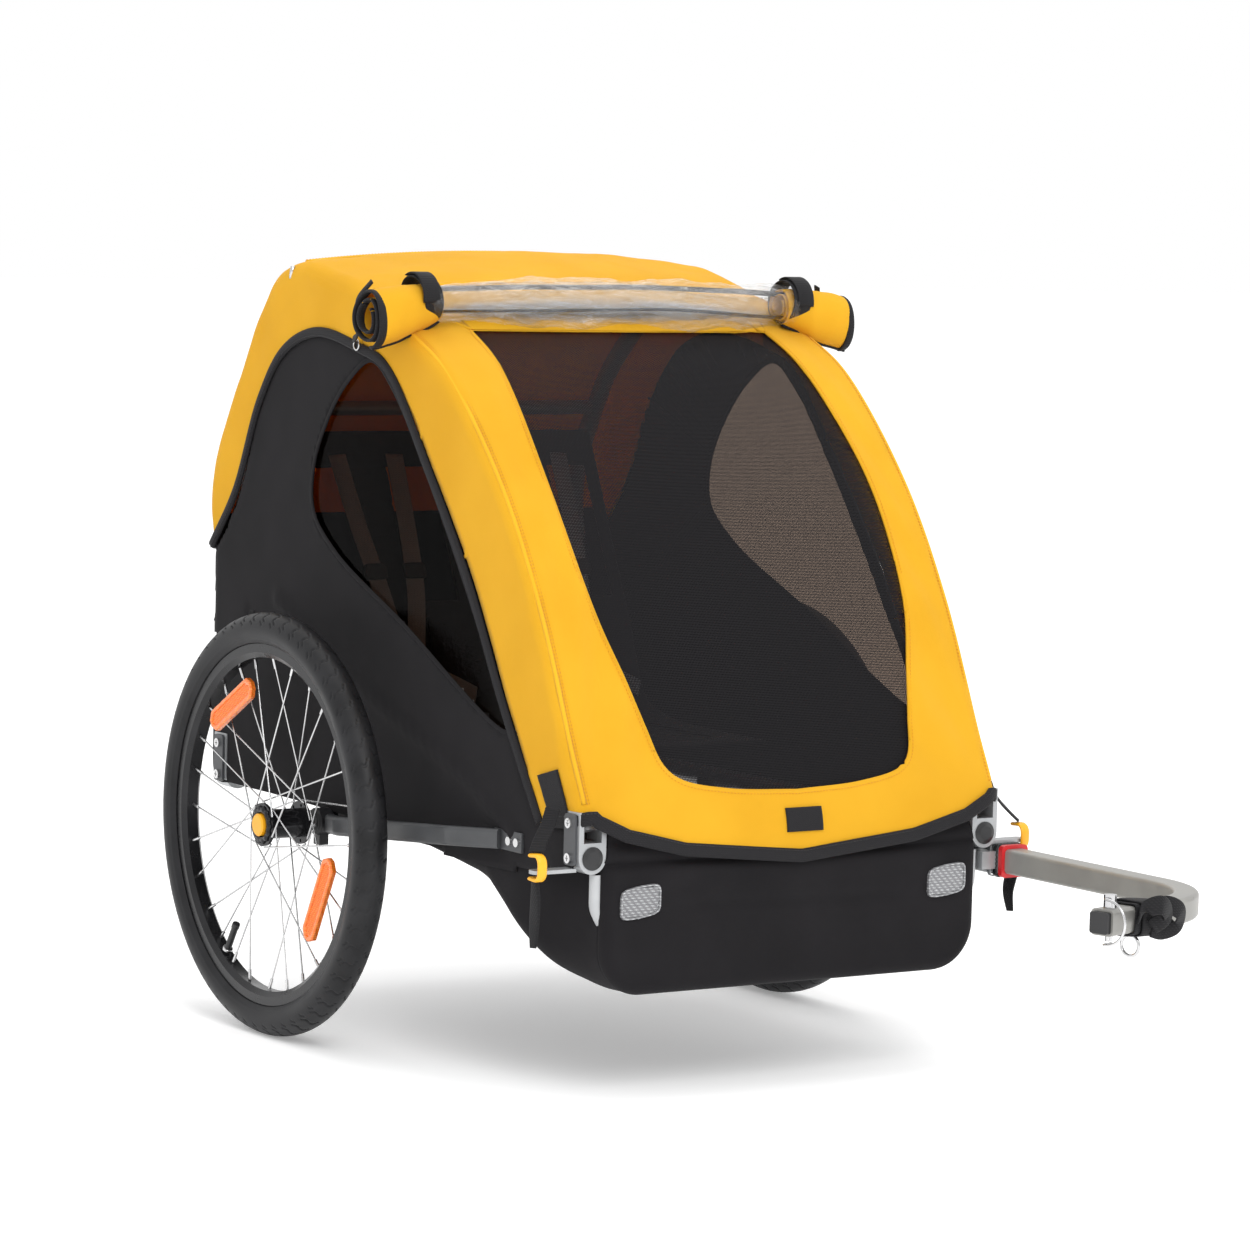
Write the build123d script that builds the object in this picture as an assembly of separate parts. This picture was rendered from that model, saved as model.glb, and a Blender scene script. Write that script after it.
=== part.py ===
from build123d import *
import os
from math import atan2, cos, degrees, radians, sin

# Two-seat child bicycle trailer. Millimetres.
# Origin on the ground under the middle of the axle. +Z up, the nose points along -Y,
# +X is the trailer's left side, where the tow arm is.

# --- driving dimensions -------------------------------------------------------------
WHEEL_R = 245.0  # outside radius of a 20 inch tyre
TYRE_R = 20.0  # radius of the tyre's cross-section
WHEEL_X = 355.0  # middle plane of each wheel
TRACK_CLEAR = 0.05  # radial clearance of the bearings in the hubs
SPOKES_PER_FLANGE = 14
SPOKE_R = 1.0
AXLE_Z = WHEEL_R

TUBE_X = 264.0  # rails and front bows share this plane on each side
RAIL_R = 12.7
RAIL_Z = 270.0
BOW_R = 11.0
WALL = 1.8  # wall of every frame tube
FRONT_Y = -526.0  # middle of the front castings
REAR_Y = 262.0  # middle of the rear castings
PIVOT_Z = 308.0  # fold pivots, in the forks above the rails
CASTING_LENGTH = 30.0
FORK_GAP = 2 * BOW_R + 0.6
FORK_WALL = 6.0
FORK_TOP = 320.0
SCREW_R = 3.2
RUNNING = 0.05  # radial clearance of a pivot

HOOP_X = 240.0  # rear hoop uprights, inboard of the bows so that both can fold
HOOP_TOP = (104.0, 873.0)  # Y, Z of the hoop's top bar
HOOP_BEND = 70.0

SKIN_X = 277.0  # inner face of the fabric sides
SKIN = 2.5  # thickness of a fabric side
SHEET = 2.0  # thickness of a stretched cover
TUBE_INSET = 14.0  # from the outside of a cover to the middle of the tube under it
HINGE_Y = -54.0  # seam between front cover and roof cover

TUB_X = 244.0  # half width of the footwell
TUB_TOP = 254.0
TUB_FRONT = -547.0
TUB_BOTTOM = 119.0
TUB_CORNER = 50.0
TUB_SKIN = 3.0

RECEIVER_X = 300.0
RECEIVER_Z = 237.0
RECEIVER = 34.0  # outside of the square receiver
ARM = 28.0  # outside of the square tow arm
ARM_BEND = 120.0
ARM_END = (100.0, -955.0)  # X, Y of the open end of the tow arm
ARM_SKEW = 15.8  # degrees that the end of the arm leans forward of the X axis
PIN_R = 4.0

SEAT_FOLD = (75.0, 345.0)  # Y, Z where the seat back meets the seat
SEAT_TOP = (232.0, 690.0)  # Y, Z of the top edge of the seat back
SEAT_HALF = 215.0
SEAT_BAR = (248.0, 712.0)  # Y, Z of the crossbar that carries the seat back
SEAT_X = 118.0  # middle of each child's seat

# Outlines seen from the side, as (Y, Z). OUTLINE runs up the nose, over the roof and down the back.
OUTLINE = [(-552, 250), (-551, 300), (-511, 388), (-444, 530), (-360, 658), (-239, 778)]
OUTLINE += [(-163, 818), (-54, 863), (20, 883), (96, 893), (151, 876), (193, 831), (254, 735)]
OUTLINE += [(299, 647), (308, 598), (304, 556), (290, 503), (287, 454), (284, 262)]
BORDER = [(-461, 300), (-381, 419), (-303, 547), (-211, 667), (-114, 777), (-55, 796)]
BORDER += [(48, 811), (126, 785), (179, 726), (235, 615), (293, 545)]
REAR_SPLIT_Z = 545.0  # lower edge of the roof cover at the back


# --- helpers ------------------------------------------------------------------------
def side_curve(points):
    """A smooth curve in the plane X = 0 through (Y, Z) points."""
    return Spline(*[Vector(0, y, z) for y, z in points])


def inset(curve, depth, count=40):
    """(Y, Z) points that lie depth to the right of the curve's direction of travel."""
    points = []
    for i in range(count + 1):
        at, along = curve @ (i / count), curve % (i / count)
        points.append((at.Y + along.Z * depth, at.Z - along.Y * depth))
    return points


def side_face(*edges):
    return Face(Wire(list(edges)))


def side_polygon(points):
    return side_face(*Polyline(*[Vector(0, y, z) for y, z in points], close=True).edges())


def across(face, x0, x1):
    """The side-view face as a solid from x0 to x1."""
    return Pos(x0, 0, 0) * extrude(face, amount=x1 - x0, dir=(1, 0, 0))


def strip(points, depth):
    """Side-view face of a sheet of even thickness under the outline."""
    outer = side_curve(points)
    inner = side_curve(inset(outer, depth))
    ends = [Line(outer @ 1, inner @ 1), Line(inner @ 0, outer @ 0)]
    return side_face(outer, ends[0], inner, ends[1])


def box(x0, x1, y0, y1, z0, z1):
    return Pos((x0 + x1) / 2, (y0 + y1) / 2, (z0 + z1) / 2) * Box(x1 - x0, y1 - y0, z1 - z0)


def rod(x0, x1, y, z, radius):
    """A cylinder along X."""
    return Pos((x0 + x1) / 2, y, z) * Rot(0, 90, 0) * Cylinder(radius, abs(x1 - x0))


def post(x, y, z0, z1, radius):
    return Pos(x, y, (z0 + z1) / 2) * Cylinder(radius, z1 - z0)


def tube(path, radius, wall=WALL):
    """A round tube along a path."""
    start = Plane(origin=path @ 0, z_dir=path % 0)
    return sweep(start * Circle(radius), path=path) - sweep(start * Circle(radius - wall), path=path)


def mirrored(shape):
    return mirror(shape, about=Plane.YZ)


def save(name, *solids):
    shape = solids[0] if len(solids) == 1 else Compound(children=list(solids))
    export_step(shape, f"parts/{name}.step")


def save_pair(stem, *left):
    """Left pieces and their mirror images, as two nodes."""
    save(f"left_{stem}", *left)
    save(f"right_{stem}", *[mirrored(piece) for piece in left])


def save_both(name, *left):
    """Left pieces and their mirror images, as separate solids of one node."""
    save(name, *left, *[mirrored(piece) for piece in left])


# --- wheels -------------------------------------------------------------------------
HUB_FLANGES = (317.25, 365.75)
FLANGE_R = 25.0
SPOKE_START = FLANGE_R + 1.4
BEARING_R = 14.0
BEARINGS = ((316.0, 324.0), (352.0, 360.0))  # from and to, along the axle
AXLE_R = 6.0
AXLE_BORE = 3.2
AXLE_END = 361.5
RIM_R = 209.0
RIM_INNER = 193.0
RIM_HALF = 12.0
VALVE_ANGLE = -58.0
BUTTON_TRAVEL = 5.0


def turned(sketch):
    """A section drawn as (along the axle, radius), turned about the left axle."""
    return Pos(0, 0, AXLE_Z) * revolve(sketch, axis=Axis.X)


def section(*points):
    return make_face(Polyline(*points, close=True))


def wheel_tyre():
    ring = Pos(WHEEL_X, WHEEL_R - TYRE_R) * (Circle(TYRE_R) - Circle(TYRE_R - 3.5))
    inside_rim = Pos(WHEEL_X, RIM_R / 2) * Rectangle(60, RIM_R + 0.4)
    return turned(ring - inside_rim)


def on_valve(radius):
    """A place on the valve's line, with Z along it."""
    return Pos(WHEEL_X, 0, AXLE_Z) * Rot(VALVE_ANGLE, 0, 0) * Pos(0, radius, 0) * Rot(90, 0, 0)


def wheel_tube():
    ring = Pos(WHEEL_X, WHEEL_R - TYRE_R - 0.5) * (Circle(15.5) - Circle(14))
    return turned(ring) + on_valve(182) * Cylinder(4, 60)


def wheel_rim():
    outer = [(RIM_HALF, RIM_R), (RIM_HALF, 199), (7, RIM_INNER), (-7, RIM_INNER), (-RIM_HALF, 199)]
    outer += [(-RIM_HALF, RIM_R), (2 - RIM_HALF, RIM_R), (2 - RIM_HALF, 200.5), (-6, 195.5), (6, 195.5)]
    outer += [(RIM_HALF - 2, 200.5), (RIM_HALF - 2, RIM_R)]
    rim = turned(section(*[(WHEEL_X + x, r) for x, r in outer]))
    return rim - on_valve(196) * Cylinder(4.3, 30)


def wheel_hub():
    body = section((314, 17), (369.5, 17), (369.5, BEARING_R + 0.2), (352, BEARING_R + 0.2), (352, 9),
                   (324, 9), (324, BEARING_R), (314, BEARING_R))
    seat = section((352, BEARING_R), (360, BEARING_R), (360, BEARING_R + 1), (352, BEARING_R + 1))
    hub = turned(body + seat)
    for x in HUB_FLANGES:
        hub += turned(section((x - 1.75, 16), (x + 1.75, 16), (x + 1.75, FLANGE_R), (x - 1.75, FLANGE_R)))
    for x in HUB_FLANGES:
        for k in range(7):
            turn = Rot(360 / 7 * k, 0, 0)
            hub -= Pos(x, 0, AXLE_Z) * turn * Pos(0, 21, 0) * Rot(0, 90, 0) * Cylinder(2, 5)
    return hub


def on_wheel(x, radius, angle):
    return Vector(x, radius * cos(angle), AXLE_Z + radius * sin(angle))


def wheel_spokes():
    """Two crossed sets of seven on each flange, with their nipples."""
    pitch = 360 / (2 * SPOKES_PER_FLANGE)
    spokes = []
    for flange, start in ((HUB_FLANGES[1], 0), (HUB_FLANGES[0], 1)):
        for k in range(SPOKES_PER_FLANGE // 2):
            for lean in (-1, 1):
                rim_angle = pitch * (4 * k + start + (lean + 1))
                hub_angle = radians(rim_angle + lean * 6 * pitch)
                rim_at = radians(rim_angle)
                low = on_wheel(flange + 1.6 * lean, SPOKE_START, hub_angle)
                high = on_wheel(WHEEL_X + 1.2 * lean, 192.2, rim_at)
                along = (high - low).normalized()
                length = (high - low).length
                wire = Plane(origin=low, z_dir=along) * Pos(0, 0, length / 2) * Cylinder(SPOKE_R, length)
                nipple = Plane(origin=high - along * 12, z_dir=along) * Pos(0, 0, 6) * Cylinder(1.9, 12)
                spokes.append(wire + nipple)
    return spokes


def wheel_reflectors():
    """Two long reflectors clipped outside the spokes."""
    bars = []
    for angle in (60, -153):
        bar = fillet(Box(5, 108, 26).edges().filter_by(Axis.X), 8)
        bars.append(Pos(367, 0, AXLE_Z) * Rot(angle - 90, 0, 0) * Pos(0, 0, 152) * bar)
    return bars


def wheel_axle():
    bored = section((255, AXLE_BORE), (AXLE_END, AXLE_BORE), (AXLE_END, AXLE_R), (315.5, AXLE_R),
                    (315.5, 9), (300, 9), (300, AXLE_R), (255, AXLE_R))
    return turned(bored)


def wheel_bearings():
    size = (AXLE_R + 0.02, BEARING_R - TRACK_CLEAR)
    return [turned(section((a, size[0]), (b, size[0]), (b, size[1]), (a, size[1]))) for a, b in BEARINGS]


def release_button():
    seat, stem_r = AXLE_END + BUTTON_TRAVEL + 1, AXLE_BORE - RUNNING
    cap = section((seat, 0), (374.5, 0), (374.5, 11), (373, 13), (seat, 13))
    stem = section((300, 0), (seat, 0), (seat, stem_r), (300, stem_r))
    return turned(cap + stem)


def make_wheels():
    save_pair("tyre", wheel_tyre())
    save_pair("inner_tube", wheel_tube())
    save_pair("rim", wheel_rim())
    save_pair("hub", wheel_hub())
    save_pair("release_button", release_button())
    save_pair("spokes", *wheel_spokes())
    save_pair("wheel_reflectors", *wheel_reflectors())
    save_both("wheel_bearings", *wheel_bearings())
    save_both("wheel_axles", wheel_axle())


# --- base frame ---------------------------------------------------------------------
RAIL_FRONT = FRONT_Y - CASTING_LENGTH / 2
GUARD_BOLT_Y = (-420.0, -404.0)
GUARD_BOLT_R = 3.0
GUARD_Z = 273.0
RAIL_REAR = REAR_Y + CASTING_LENGTH / 2


def along_y(x, z, y0, y1, radius):
    return Pos(x, (y0 + y1) / 2, z) * Rot(90, 0, 0) * Cylinder(radius, y1 - y0)


def rail():
    solid = along_y(TUBE_X, RAIL_Z, RAIL_FRONT, RAIL_REAR, RAIL_R)
    solid -= along_y(TUBE_X, RAIL_Z, RAIL_FRONT, RAIL_REAR, RAIL_R - WALL)
    for y in (FRONT_Y, REAR_Y):
        solid -= rod(TUBE_X - 20, TUBE_X + 20, y, RAIL_Z, SCREW_R)
    for y in GUARD_BOLT_Y:
        solid -= rod(TUBE_X, TUBE_X + 20, y, GUARD_Z, GUARD_BOLT_R + 0.05)
    return solid


def rail_cap(y, facing):
    """A domed plug in the end of a rail. facing is -1 at the nose and 1 at the back."""
    profile = make_face(Polyline((0, 0), (0, 3), (8, 3), (RAIL_R, 1.2), (RAIL_R, 0), close=True))
    dome = revolve(profile, axis=Axis.Y)
    plug = along_y(0, 0, -8, 0, RAIL_R - WALL - 0.1)
    cap = dome + plug
    return Pos(TUBE_X, y, RAIL_Z) * (cap if facing > 0 else mirror(cap, about=Plane.XZ))


def casting(y):
    """A ring round the rail with an upright fork for the fold pivot."""
    y0, y1 = y - CASTING_LENGTH / 2, y + CASTING_LENGTH / 2
    inner, outer = TUBE_X - FORK_GAP / 2, TUBE_X + FORK_GAP / 2
    solid = along_y(TUBE_X, RAIL_Z, y0, y1, RAIL_R + 4.5)
    solid += box(inner - FORK_WALL, outer + FORK_WALL, y0, y1, RAIL_Z, FORK_TOP)
    solid -= box(inner, outer, y0 - 1, y1 + 1, RAIL_Z + RAIL_R + 4, FORK_TOP + 1)
    solid -= along_y(TUBE_X, RAIL_Z, y0 - 1, y1 + 1, RAIL_R)
    for z in (PIVOT_Z, RAIL_Z):
        solid -= rod(TUBE_X - 30, TUBE_X + 30, y, z, SCREW_R)
    return solid


def front_casting():
    outer = TUBE_X + FORK_GAP / 2 + FORK_WALL
    tab = box(outer - 1, 332, FRONT_Y - 9, FRONT_Y + 9, 255.5, 259.5)
    tab = fillet(tab.edges().filter_by(Axis.Z).group_by(Axis.X)[-1], 7)
    return casting(FRONT_Y) + (tab - along_y(TUBE_X, RAIL_Z, -600, -400, RAIL_R + 4))


def casting_plate(y):
    outer = TUBE_X + FORK_GAP / 2 + FORK_WALL
    plate = fillet(box(outer, outer + 3, y - 11, y + 11, 262, 318).edges().filter_by(Axis.X), 5)
    for z in (PIVOT_Z, RAIL_Z):
        plate -= rod(outer - 1, outer + 4, y, z, SCREW_R)
    return plate


def casting_screw(y, z):
    """A through screw with its head outside and its nut inside."""
    inner, outer = TUBE_X - FORK_GAP / 2 - FORK_WALL, TUBE_X + FORK_GAP / 2 + FORK_WALL + 3
    screw = rod(inner - 4, outer, y, z, SCREW_R - 0.02) + rod(outer, outer + 3, y, z, 5.5)
    slot = box(outer + 1.4, outer + 4, y - 3, y + 3, z - 0.7, z + 0.7)
    recess = slot + box(outer + 1.4, outer + 4, y - 0.7, y + 0.7, z - 3, z + 3)
    nut = Pos(inner - 4, y, z) * Rot(0, 90, 0) * extrude(RegularPolygon(5.5, 6), amount=4)
    return screw - recess + nut


def cross_tube(y):
    half = TUBE_X - FORK_GAP / 2 - FORK_WALL - 5
    return rod(-half, half, y, RAIL_Z - 4, RAIL_R - 1) - rod(-half, half, y, RAIL_Z - 4, RAIL_R - 1 - WALL)


def axle_tube():
    return rod(-279, 279, 0, AXLE_Z, 11) - rod(-279, 279, 0, AXLE_Z, 9)


def axle_saddle():
    """Holds the axle tube up against a rail."""
    block = box(TUBE_X - 15, TUBE_X + 12, -16, 16, AXLE_Z - 14, RAIL_Z)
    return block - rod(TUBE_X - 30, TUBE_X + 30, 0, AXLE_Z, 11) - along_y(TUBE_X, RAIL_Z, -20, 20, RAIL_R)


def axle_sleeve():
    sleeve = section((280.5, 16), (297, 16), (299.5, 13.5), (299.5, AXLE_R), (250, AXLE_R),
                     (250, 8.97), (279.5, 8.97), (279.5, 11), (280.5, 11))
    latch = box(283, 295, -7, 7, AXLE_Z - 27, AXLE_Z - 10) - rod(280, 300, 0, AXLE_Z, 12)
    return turned(sleeve) + latch


def guard_bar():
    """Keeps the wheel off posts. It runs from the axle sleeve forward and back in to the rail."""
    corners = [(290, -22, AXLE_Z), (311, -78, 250), (311, -330, 271), (284, -385, GUARD_Z)]
    line = FilletPolyline(*corners, radius=34)
    start = Plane(origin=line @ 0, x_dir=(0, 0, 1), z_dir=line % 0)
    bar = sweep(start * RectangleRounded(22, 12, 4.5), path=line)
    flange = box(280, 283, -428, -372, 262, 284)
    bar = bar - box(260, 280, -450, -350, 240, 300) + flange
    for y in GUARD_BOLT_Y:
        bar -= rod(275, 300, y, GUARD_Z, GUARD_BOLT_R + 0.05)
    return bar


def guard_bolts():
    """Hold the front end of a guard bar on its rail, through the side fabric."""
    return [rod(270, 283, y, GUARD_Z, GUARD_BOLT_R) + rod(283, 286, y, GUARD_Z, 4.8) for y in GUARD_BOLT_Y]


HOOP_LEG_R = 7.0


def footwell_hoop_path():
    """From under each front casting, down outside the footwell, then in and across its floor."""
    x, y, low = 252.0, FRONT_Y - 4, 137.0
    corners = [(x, 251), (x, 214), (208, low), (-208, low), (-x, 214), (-x, 251)]
    return FilletPolyline(*[(cx, y, cz) for cx, cz in corners], radius=24)


def footwell_hoop():
    """Tube that holds the nose of the footwell open."""
    return tube(footwell_hoop_path(), HOOP_LEG_R, 1.2)


def make_base():
    save_both("base_rails", rail())
    save_both("rail_end_caps", rail_cap(RAIL_FRONT, -1), rail_cap(RAIL_REAR, 1))
    save_both("front_castings", front_casting())
    save_both("rear_castings", casting(REAR_Y))
    save_both("casting_plates", casting_plate(FRONT_Y), casting_plate(REAR_Y))
    screws = [casting_screw(y, z) for y in (FRONT_Y, REAR_Y) for z in (PIVOT_Z, RAIL_Z)]
    save_both("frame_screws", *screws, *guard_bolts())
    save("cross_tubes", cross_tube(FRONT_Y), cross_tube(REAR_Y))
    save("axle_tube", axle_tube())
    save_both("axle_saddles", axle_saddle())
    save_both("axle_sleeves", axle_sleeve())
    save_both("guard_bars", guard_bar())
    save("footwell_hoop", footwell_hoop())


# --- folding frame ------------------------------------------------------------------
def bow():
    """A front bow, from its pivot up the nose and back along the roof to the hoop."""
    under = inset(side_curve(OUTLINE), TUBE_INSET)
    points = [(FRONT_Y, PIVOT_Z)] + [p for p in under if p[1] > 370 and p[0] < 84]
    path = Pos(TUBE_X, 0, 0) * side_curve(points)
    solid = tube(path, BOW_R)
    start = path % 0
    ring = Cylinder(BOW_R, 10) - Cylinder(BOW_R - WALL, 11)
    heel = Plane(origin=path @ 0, z_dir=start) * Pos(0, 0, -5) * ring
    return solid + heel - rod(TUBE_X - 20, TUBE_X + 20, FRONT_Y, PIVOT_Z, SCREW_R - 0.02 + RUNNING)


def bow_latch():
    """A plug with a hook-shaped cheek on the back end of a bow. It rests beside the hoop."""
    plug = along_y(TUBE_X, 876, 96, 112, BOW_R)
    return plug + box(TUBE_X - 11.5, TUBE_X - 6, 96, 118, 862, 878)


def hoop():
    """The rear hoop: two uprights that lean in to one top bar."""
    rear = inset(side_curve(OUTLINE), TUBE_INSET)
    y_top, z_top = HOOP_TOP
    lean = Vector(0, -0.707, 0.707)
    elbow = Vector(HOOP_X, y_top, z_top) - lean * HOOP_BEND
    low = [(REAR_Y, 354.0), (REAR_Y + 6, 420.0)]
    high = [p for p in rear if 480 < p[1] < 760 and p[0] > 0]
    upright = Spline(*[Vector(HOOP_X, y, z) for y, z in low + high[::-1]], elbow,
                     tangents=[(0, 0.02, 1), lean])
    middle = elbow + lean * HOOP_BEND * sin(radians(45)) - Vector(HOOP_BEND * (1 - cos(radians(45))), 0, 0)
    bend = ThreePointArc(elbow, middle, Vector(HOOP_X - HOOP_BEND, y_top, z_top))
    bar = Line(bend @ 1, Vector(0, y_top, z_top))
    half = tube(Wire([upright, bend, bar]), BOW_R)
    return half + mirrored(half)


def hoop_foot():
    """Carries a hoop upright from its pivot in the rear casting, inward past the bow."""
    half = BOW_R
    lug = rod(TUBE_X - half, TUBE_X + half, REAR_Y, PIVOT_Z, 11)
    lug += box(TUBE_X - half, TUBE_X + half, REAR_Y - 11, REAR_Y + 11, PIVOT_Z, 352)
    shelf = box(HOOP_X - 12, TUBE_X + half, REAR_Y - 11, REAR_Y + 11, 340, 352)
    spigot = post(HOOP_X, REAR_Y, 352, 364, BOW_R - WALL - 0.8)
    return lug + shelf + spigot - rod(TUBE_X - 20, TUBE_X + 20, REAR_Y, PIVOT_Z, SCREW_R - 0.02 + RUNNING)


def seat_bar():
    """Crossbar between the uprights that carries the seat back."""
    half = HOOP_X - BOW_R - 0.6
    return rod(-half, half, *SEAT_BAR, 9) - rod(-half, half, *SEAT_BAR, 7.5)


def make_folding_frame():
    save_both("front_bows", bow())
    save_both("bow_latches", bow_latch())
    save("rear_hoop", hoop())
    save_both("hoop_feet", hoop_foot())
    save("seat_bar", seat_bar())


# --- body fabric --------------------------------------------------------------------
PANEL_FLOOR = [(240, 262), (71, 260), (-162, 251), (-336, 240), (-504, 257), (-504, 299)]
WINDOW_FRONT = [(-386, 398), (-335, 483), (-250, 597), (-158, 719), (-80, 777)]
WINDOW_BACK = [(-80, 777), (-29, 757), (16, 716), (50, 656), (50, 605), (0, 561), (-152, 493), (-386, 398)]


def side_edge():
    """The straight-sided lower part of the side panel, back to front."""
    points = [(293, 545), (286, 503), (283, 454), (280, 326), (240, 326)] + PANEL_FLOOR + [(-461, 300)]
    return Polyline(*[Vector(0, y, z) for y, z in points])


def panel_area(growth=0.0):
    top = side_curve(inset(side_curve(BORDER), -growth)) if growth else side_curve(BORDER)
    low = side_edge()
    links = [] if not growth else [Line(top @ 1, low @ 0), Line(low @ 1, top @ 0)]
    return side_face(top, *links, *low.edges())


def window_area():
    return side_face(side_curve(WINDOW_FRONT), side_curve(WINDOW_BACK))


def side_panel():
    panel = across(panel_area(), SKIN_X, SKIN_X + SKIN) - across(window_area(), SKIN_X - 1, SKIN_X + SKIN + 1)
    for y in GUARD_BOLT_Y:
        panel -= rod(SKIN_X - 5, SKIN_X + 10, y, GUARD_Z, GUARD_BOLT_R + 0.2)
    return panel


def window_pane():
    """Clear film against the inside of the side panel."""
    return across(window_area(), SKIN_X - 1.3, SKIN_X - 0.1)


def front_opening():
    """Outline of the mesh window seen from the front."""
    right = [(202, 822), (217, 658), (208, 524), (189, 453), (176, 403), (172, 365)]
    side = Spline(*[Vector(x, 0, z) for x, z in right])
    low = ThreePointArc((172, 0, 365), (0, 0, 333), (-172, 0, 365))
    other = Spline(*[Vector(-x, 0, z) for x, z in right[::-1]])
    top = Line((-202, 0, 822), (202, 0, 822))
    return Face(Wire([side, low, other, top]))


def front_edge_cut():
    """Everything below the curved lower edge of the front cover."""
    arc = ThreePointArc((-290, 0, 324), (0, 0, 259), (290, 0, 324))
    low = Polyline((290, 0, 324), (290, 0, 200), (-290, 0, 200), (-290, 0, 324))
    return Pos(0, -500, 0) * extrude(side_face(arc, *low.edges()), amount=90, dir=(0, -1, 0))


def body_prism(depth, half):
    """The whole covered body as a solid prism, depth inside its outline."""
    curve = side_curve(inset(side_curve(OUTLINE), depth) if depth else OUTLINE)
    low = 200 if depth else 255
    loop = Polyline(curve @ 1, Vector(0, (curve @ 1).Y, low), Vector(0, (curve @ 0).Y, low), curve @ 0)
    return across(side_face(curve, *loop.edges()), -half, half)


def cover_shell():
    """Sheet over nose, roof and back, with side walls, less the side panels' area."""
    shell = body_prism(0, SKIN_X + SKIN) - body_prism(SHEET, SKIN_X)
    sides = across(panel_area(1.0), -SKIN_X - SKIN - 1, SKIN_X + SKIN + 1)
    shell -= sides - box(-270, 270, -600, 400, 0, 900)
    return shell


def mesh_opening():
    return Pos(0, -100, 0) * extrude(front_opening(), amount=480, dir=(0, -1, 0))


def front_cover():
    """Nose part of the shell. It stops above the castings at the sides."""
    cover = cover_shell() & box(-300, 300, -600, HINGE_Y, 250, 950)
    cover -= box(-300, 300, -546, 0, 200, 299)
    for x0, x1 in ((-290, -270), (270, 290)):
        cover -= box(x0, x1, -560, -455, 200, 323)
    return cover - front_edge_cut() - mesh_opening()


def front_mesh():
    """Mesh against the inside of the front cover."""
    under = inset(side_curve(OUTLINE), SHEET + 0.2)
    sheet = across(strip(under, 0.8), -SKIN_X, SKIN_X) & box(-300, 300, -600, HINGE_Y, 250, 950)
    return sheet & mesh_opening()


def roof_cover():
    """Roof, back and the two gussets that meet the arched border of the side panels."""
    return cover_shell() & box(-300, 300, HINGE_Y + 0.6, 400, REAR_SPLIT_Z, 950)


def rear_panel():
    wall = across(strip(OUTLINE, SHEET), -SKIN_X + 0.5, SKIN_X - 0.5)
    return wall & box(-300, 300, 200, 400, 262, REAR_SPLIT_Z - 1)


def tub_outline(skin):
    points = [(-140, 256), (-282, 228), (-325, 219), (-389, 176), (-444, 137), (-506, TUB_BOTTOM)]
    points += [(-538, TUB_BOTTOM), (TUB_FRONT, 150), (TUB_FRONT, 300), (-140, 300)]
    return across(offset(side_polygon(points), -skin) if skin else side_polygon(points), -300, 300)


def tub_trough(skin):
    half, low = TUB_X - skin, TUB_BOTTOM + skin
    trough = box(-half, half, -600, -100, low, 400)
    return fillet(trough.edges().filter_by(Axis.Y).group_by(Axis.Z)[0], TUB_CORNER - skin)


def footwell_tub():
    outer = tub_outline(0) & tub_trough(0)
    inner = tub_outline(TUB_SKIN) & tub_trough(TUB_SKIN)
    tub = outer - inner - box(-300, 300, TUB_FRONT + TUB_SKIN, 0, TUB_TOP, 310)
    tub -= box(-300, 300, -700, 0, 299, 310)
    path = footwell_hoop_path()
    return tub - sweep(Plane(origin=path @ 0, z_dir=path % 0) * Circle(HOOP_LEG_R + 0.5), path=path)


def front_reflectors():
    lens = fillet(Box(52, 4, 37).edges().filter_by(Axis.Y), 7)
    return [Pos(x, TUB_FRONT - 2.2, 221) * lens for x in (-206, 206)]


def cargo_floor():
    return box(-243, 243, -138, REAR_Y - 16, 258, 260)


def make_fabric():
    save_both("side_panels", side_panel())
    save_both("side_windows", window_pane())
    save("front_cover", front_cover())
    save("front_mesh", front_mesh())
    save("roof_cover", roof_cover())
    save("rear_panel", rear_panel())
    save("footwell_tub", footwell_tub())
    save("cargo_floor", cargo_floor())
    save("front_reflectors", *front_reflectors())


# --- rolled rain shield and cover hooks ----------------------------------------------
ROLL_AT = (-145.0, 856.5)  # Y, Z of the middle of the roll
ROLL_R = 25.0
ROLL_HALF = 328.0
ROLL_STRAP_X = 254.0


def rain_roll():
    return rod(-ROLL_HALF, ROLL_HALF, *ROLL_AT, ROLL_R)


def roll_strap():
    x0, x1 = ROLL_STRAP_X - 12, ROLL_STRAP_X + 12
    return rod(x0, x1, *ROLL_AT, ROLL_R + 1.6) - rod(x0 - 1, x1 + 1, *ROLL_AT, ROLL_R + 0.1)


def cover_hook():
    """An open plastic hook that catches the tab on the front casting."""
    y = FRONT_Y - 3
    hook = box(319, 331, y - 10, y - 7, 248, 276) + box(319, 331, y - 10, y + 12, 248, 252)
    return hook + box(319, 331, y - 10, y + 12, 272, 276)


def hook_strap():
    """Webbing from the corner of the front cover out to the hook."""
    y = FRONT_Y + 12
    return box(285, 331, y, y + 2, 302, 320) + box(319, 331, y, y + 2, 277, 320)


def make_roll_and_hooks():
    save("rain_shield_roll", rain_roll())
    save_both("roll_straps", roll_strap())
    save_both("cover_hooks", cover_hook())
    save_both("hook_straps", hook_strap())


# --- seat and harness ---------------------------------------------------------------
BUCKLE_HEIGHT = 62.0  # of the buckle, up the seat back from the fold
BUTTON_R = 9.0
BUTTON_PRESS = 3.0


def back_plane(x=0.0):
    """Plane on the seat back: its Y runs up the back and its Z faces the child."""
    run, rise = SEAT_TOP[0] - SEAT_FOLD[0], SEAT_TOP[1] - SEAT_FOLD[1]
    tilt = degrees(atan2(rise, run))
    return Pos(x, *SEAT_FOLD) * Rot(tilt, 0, 0)


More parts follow.
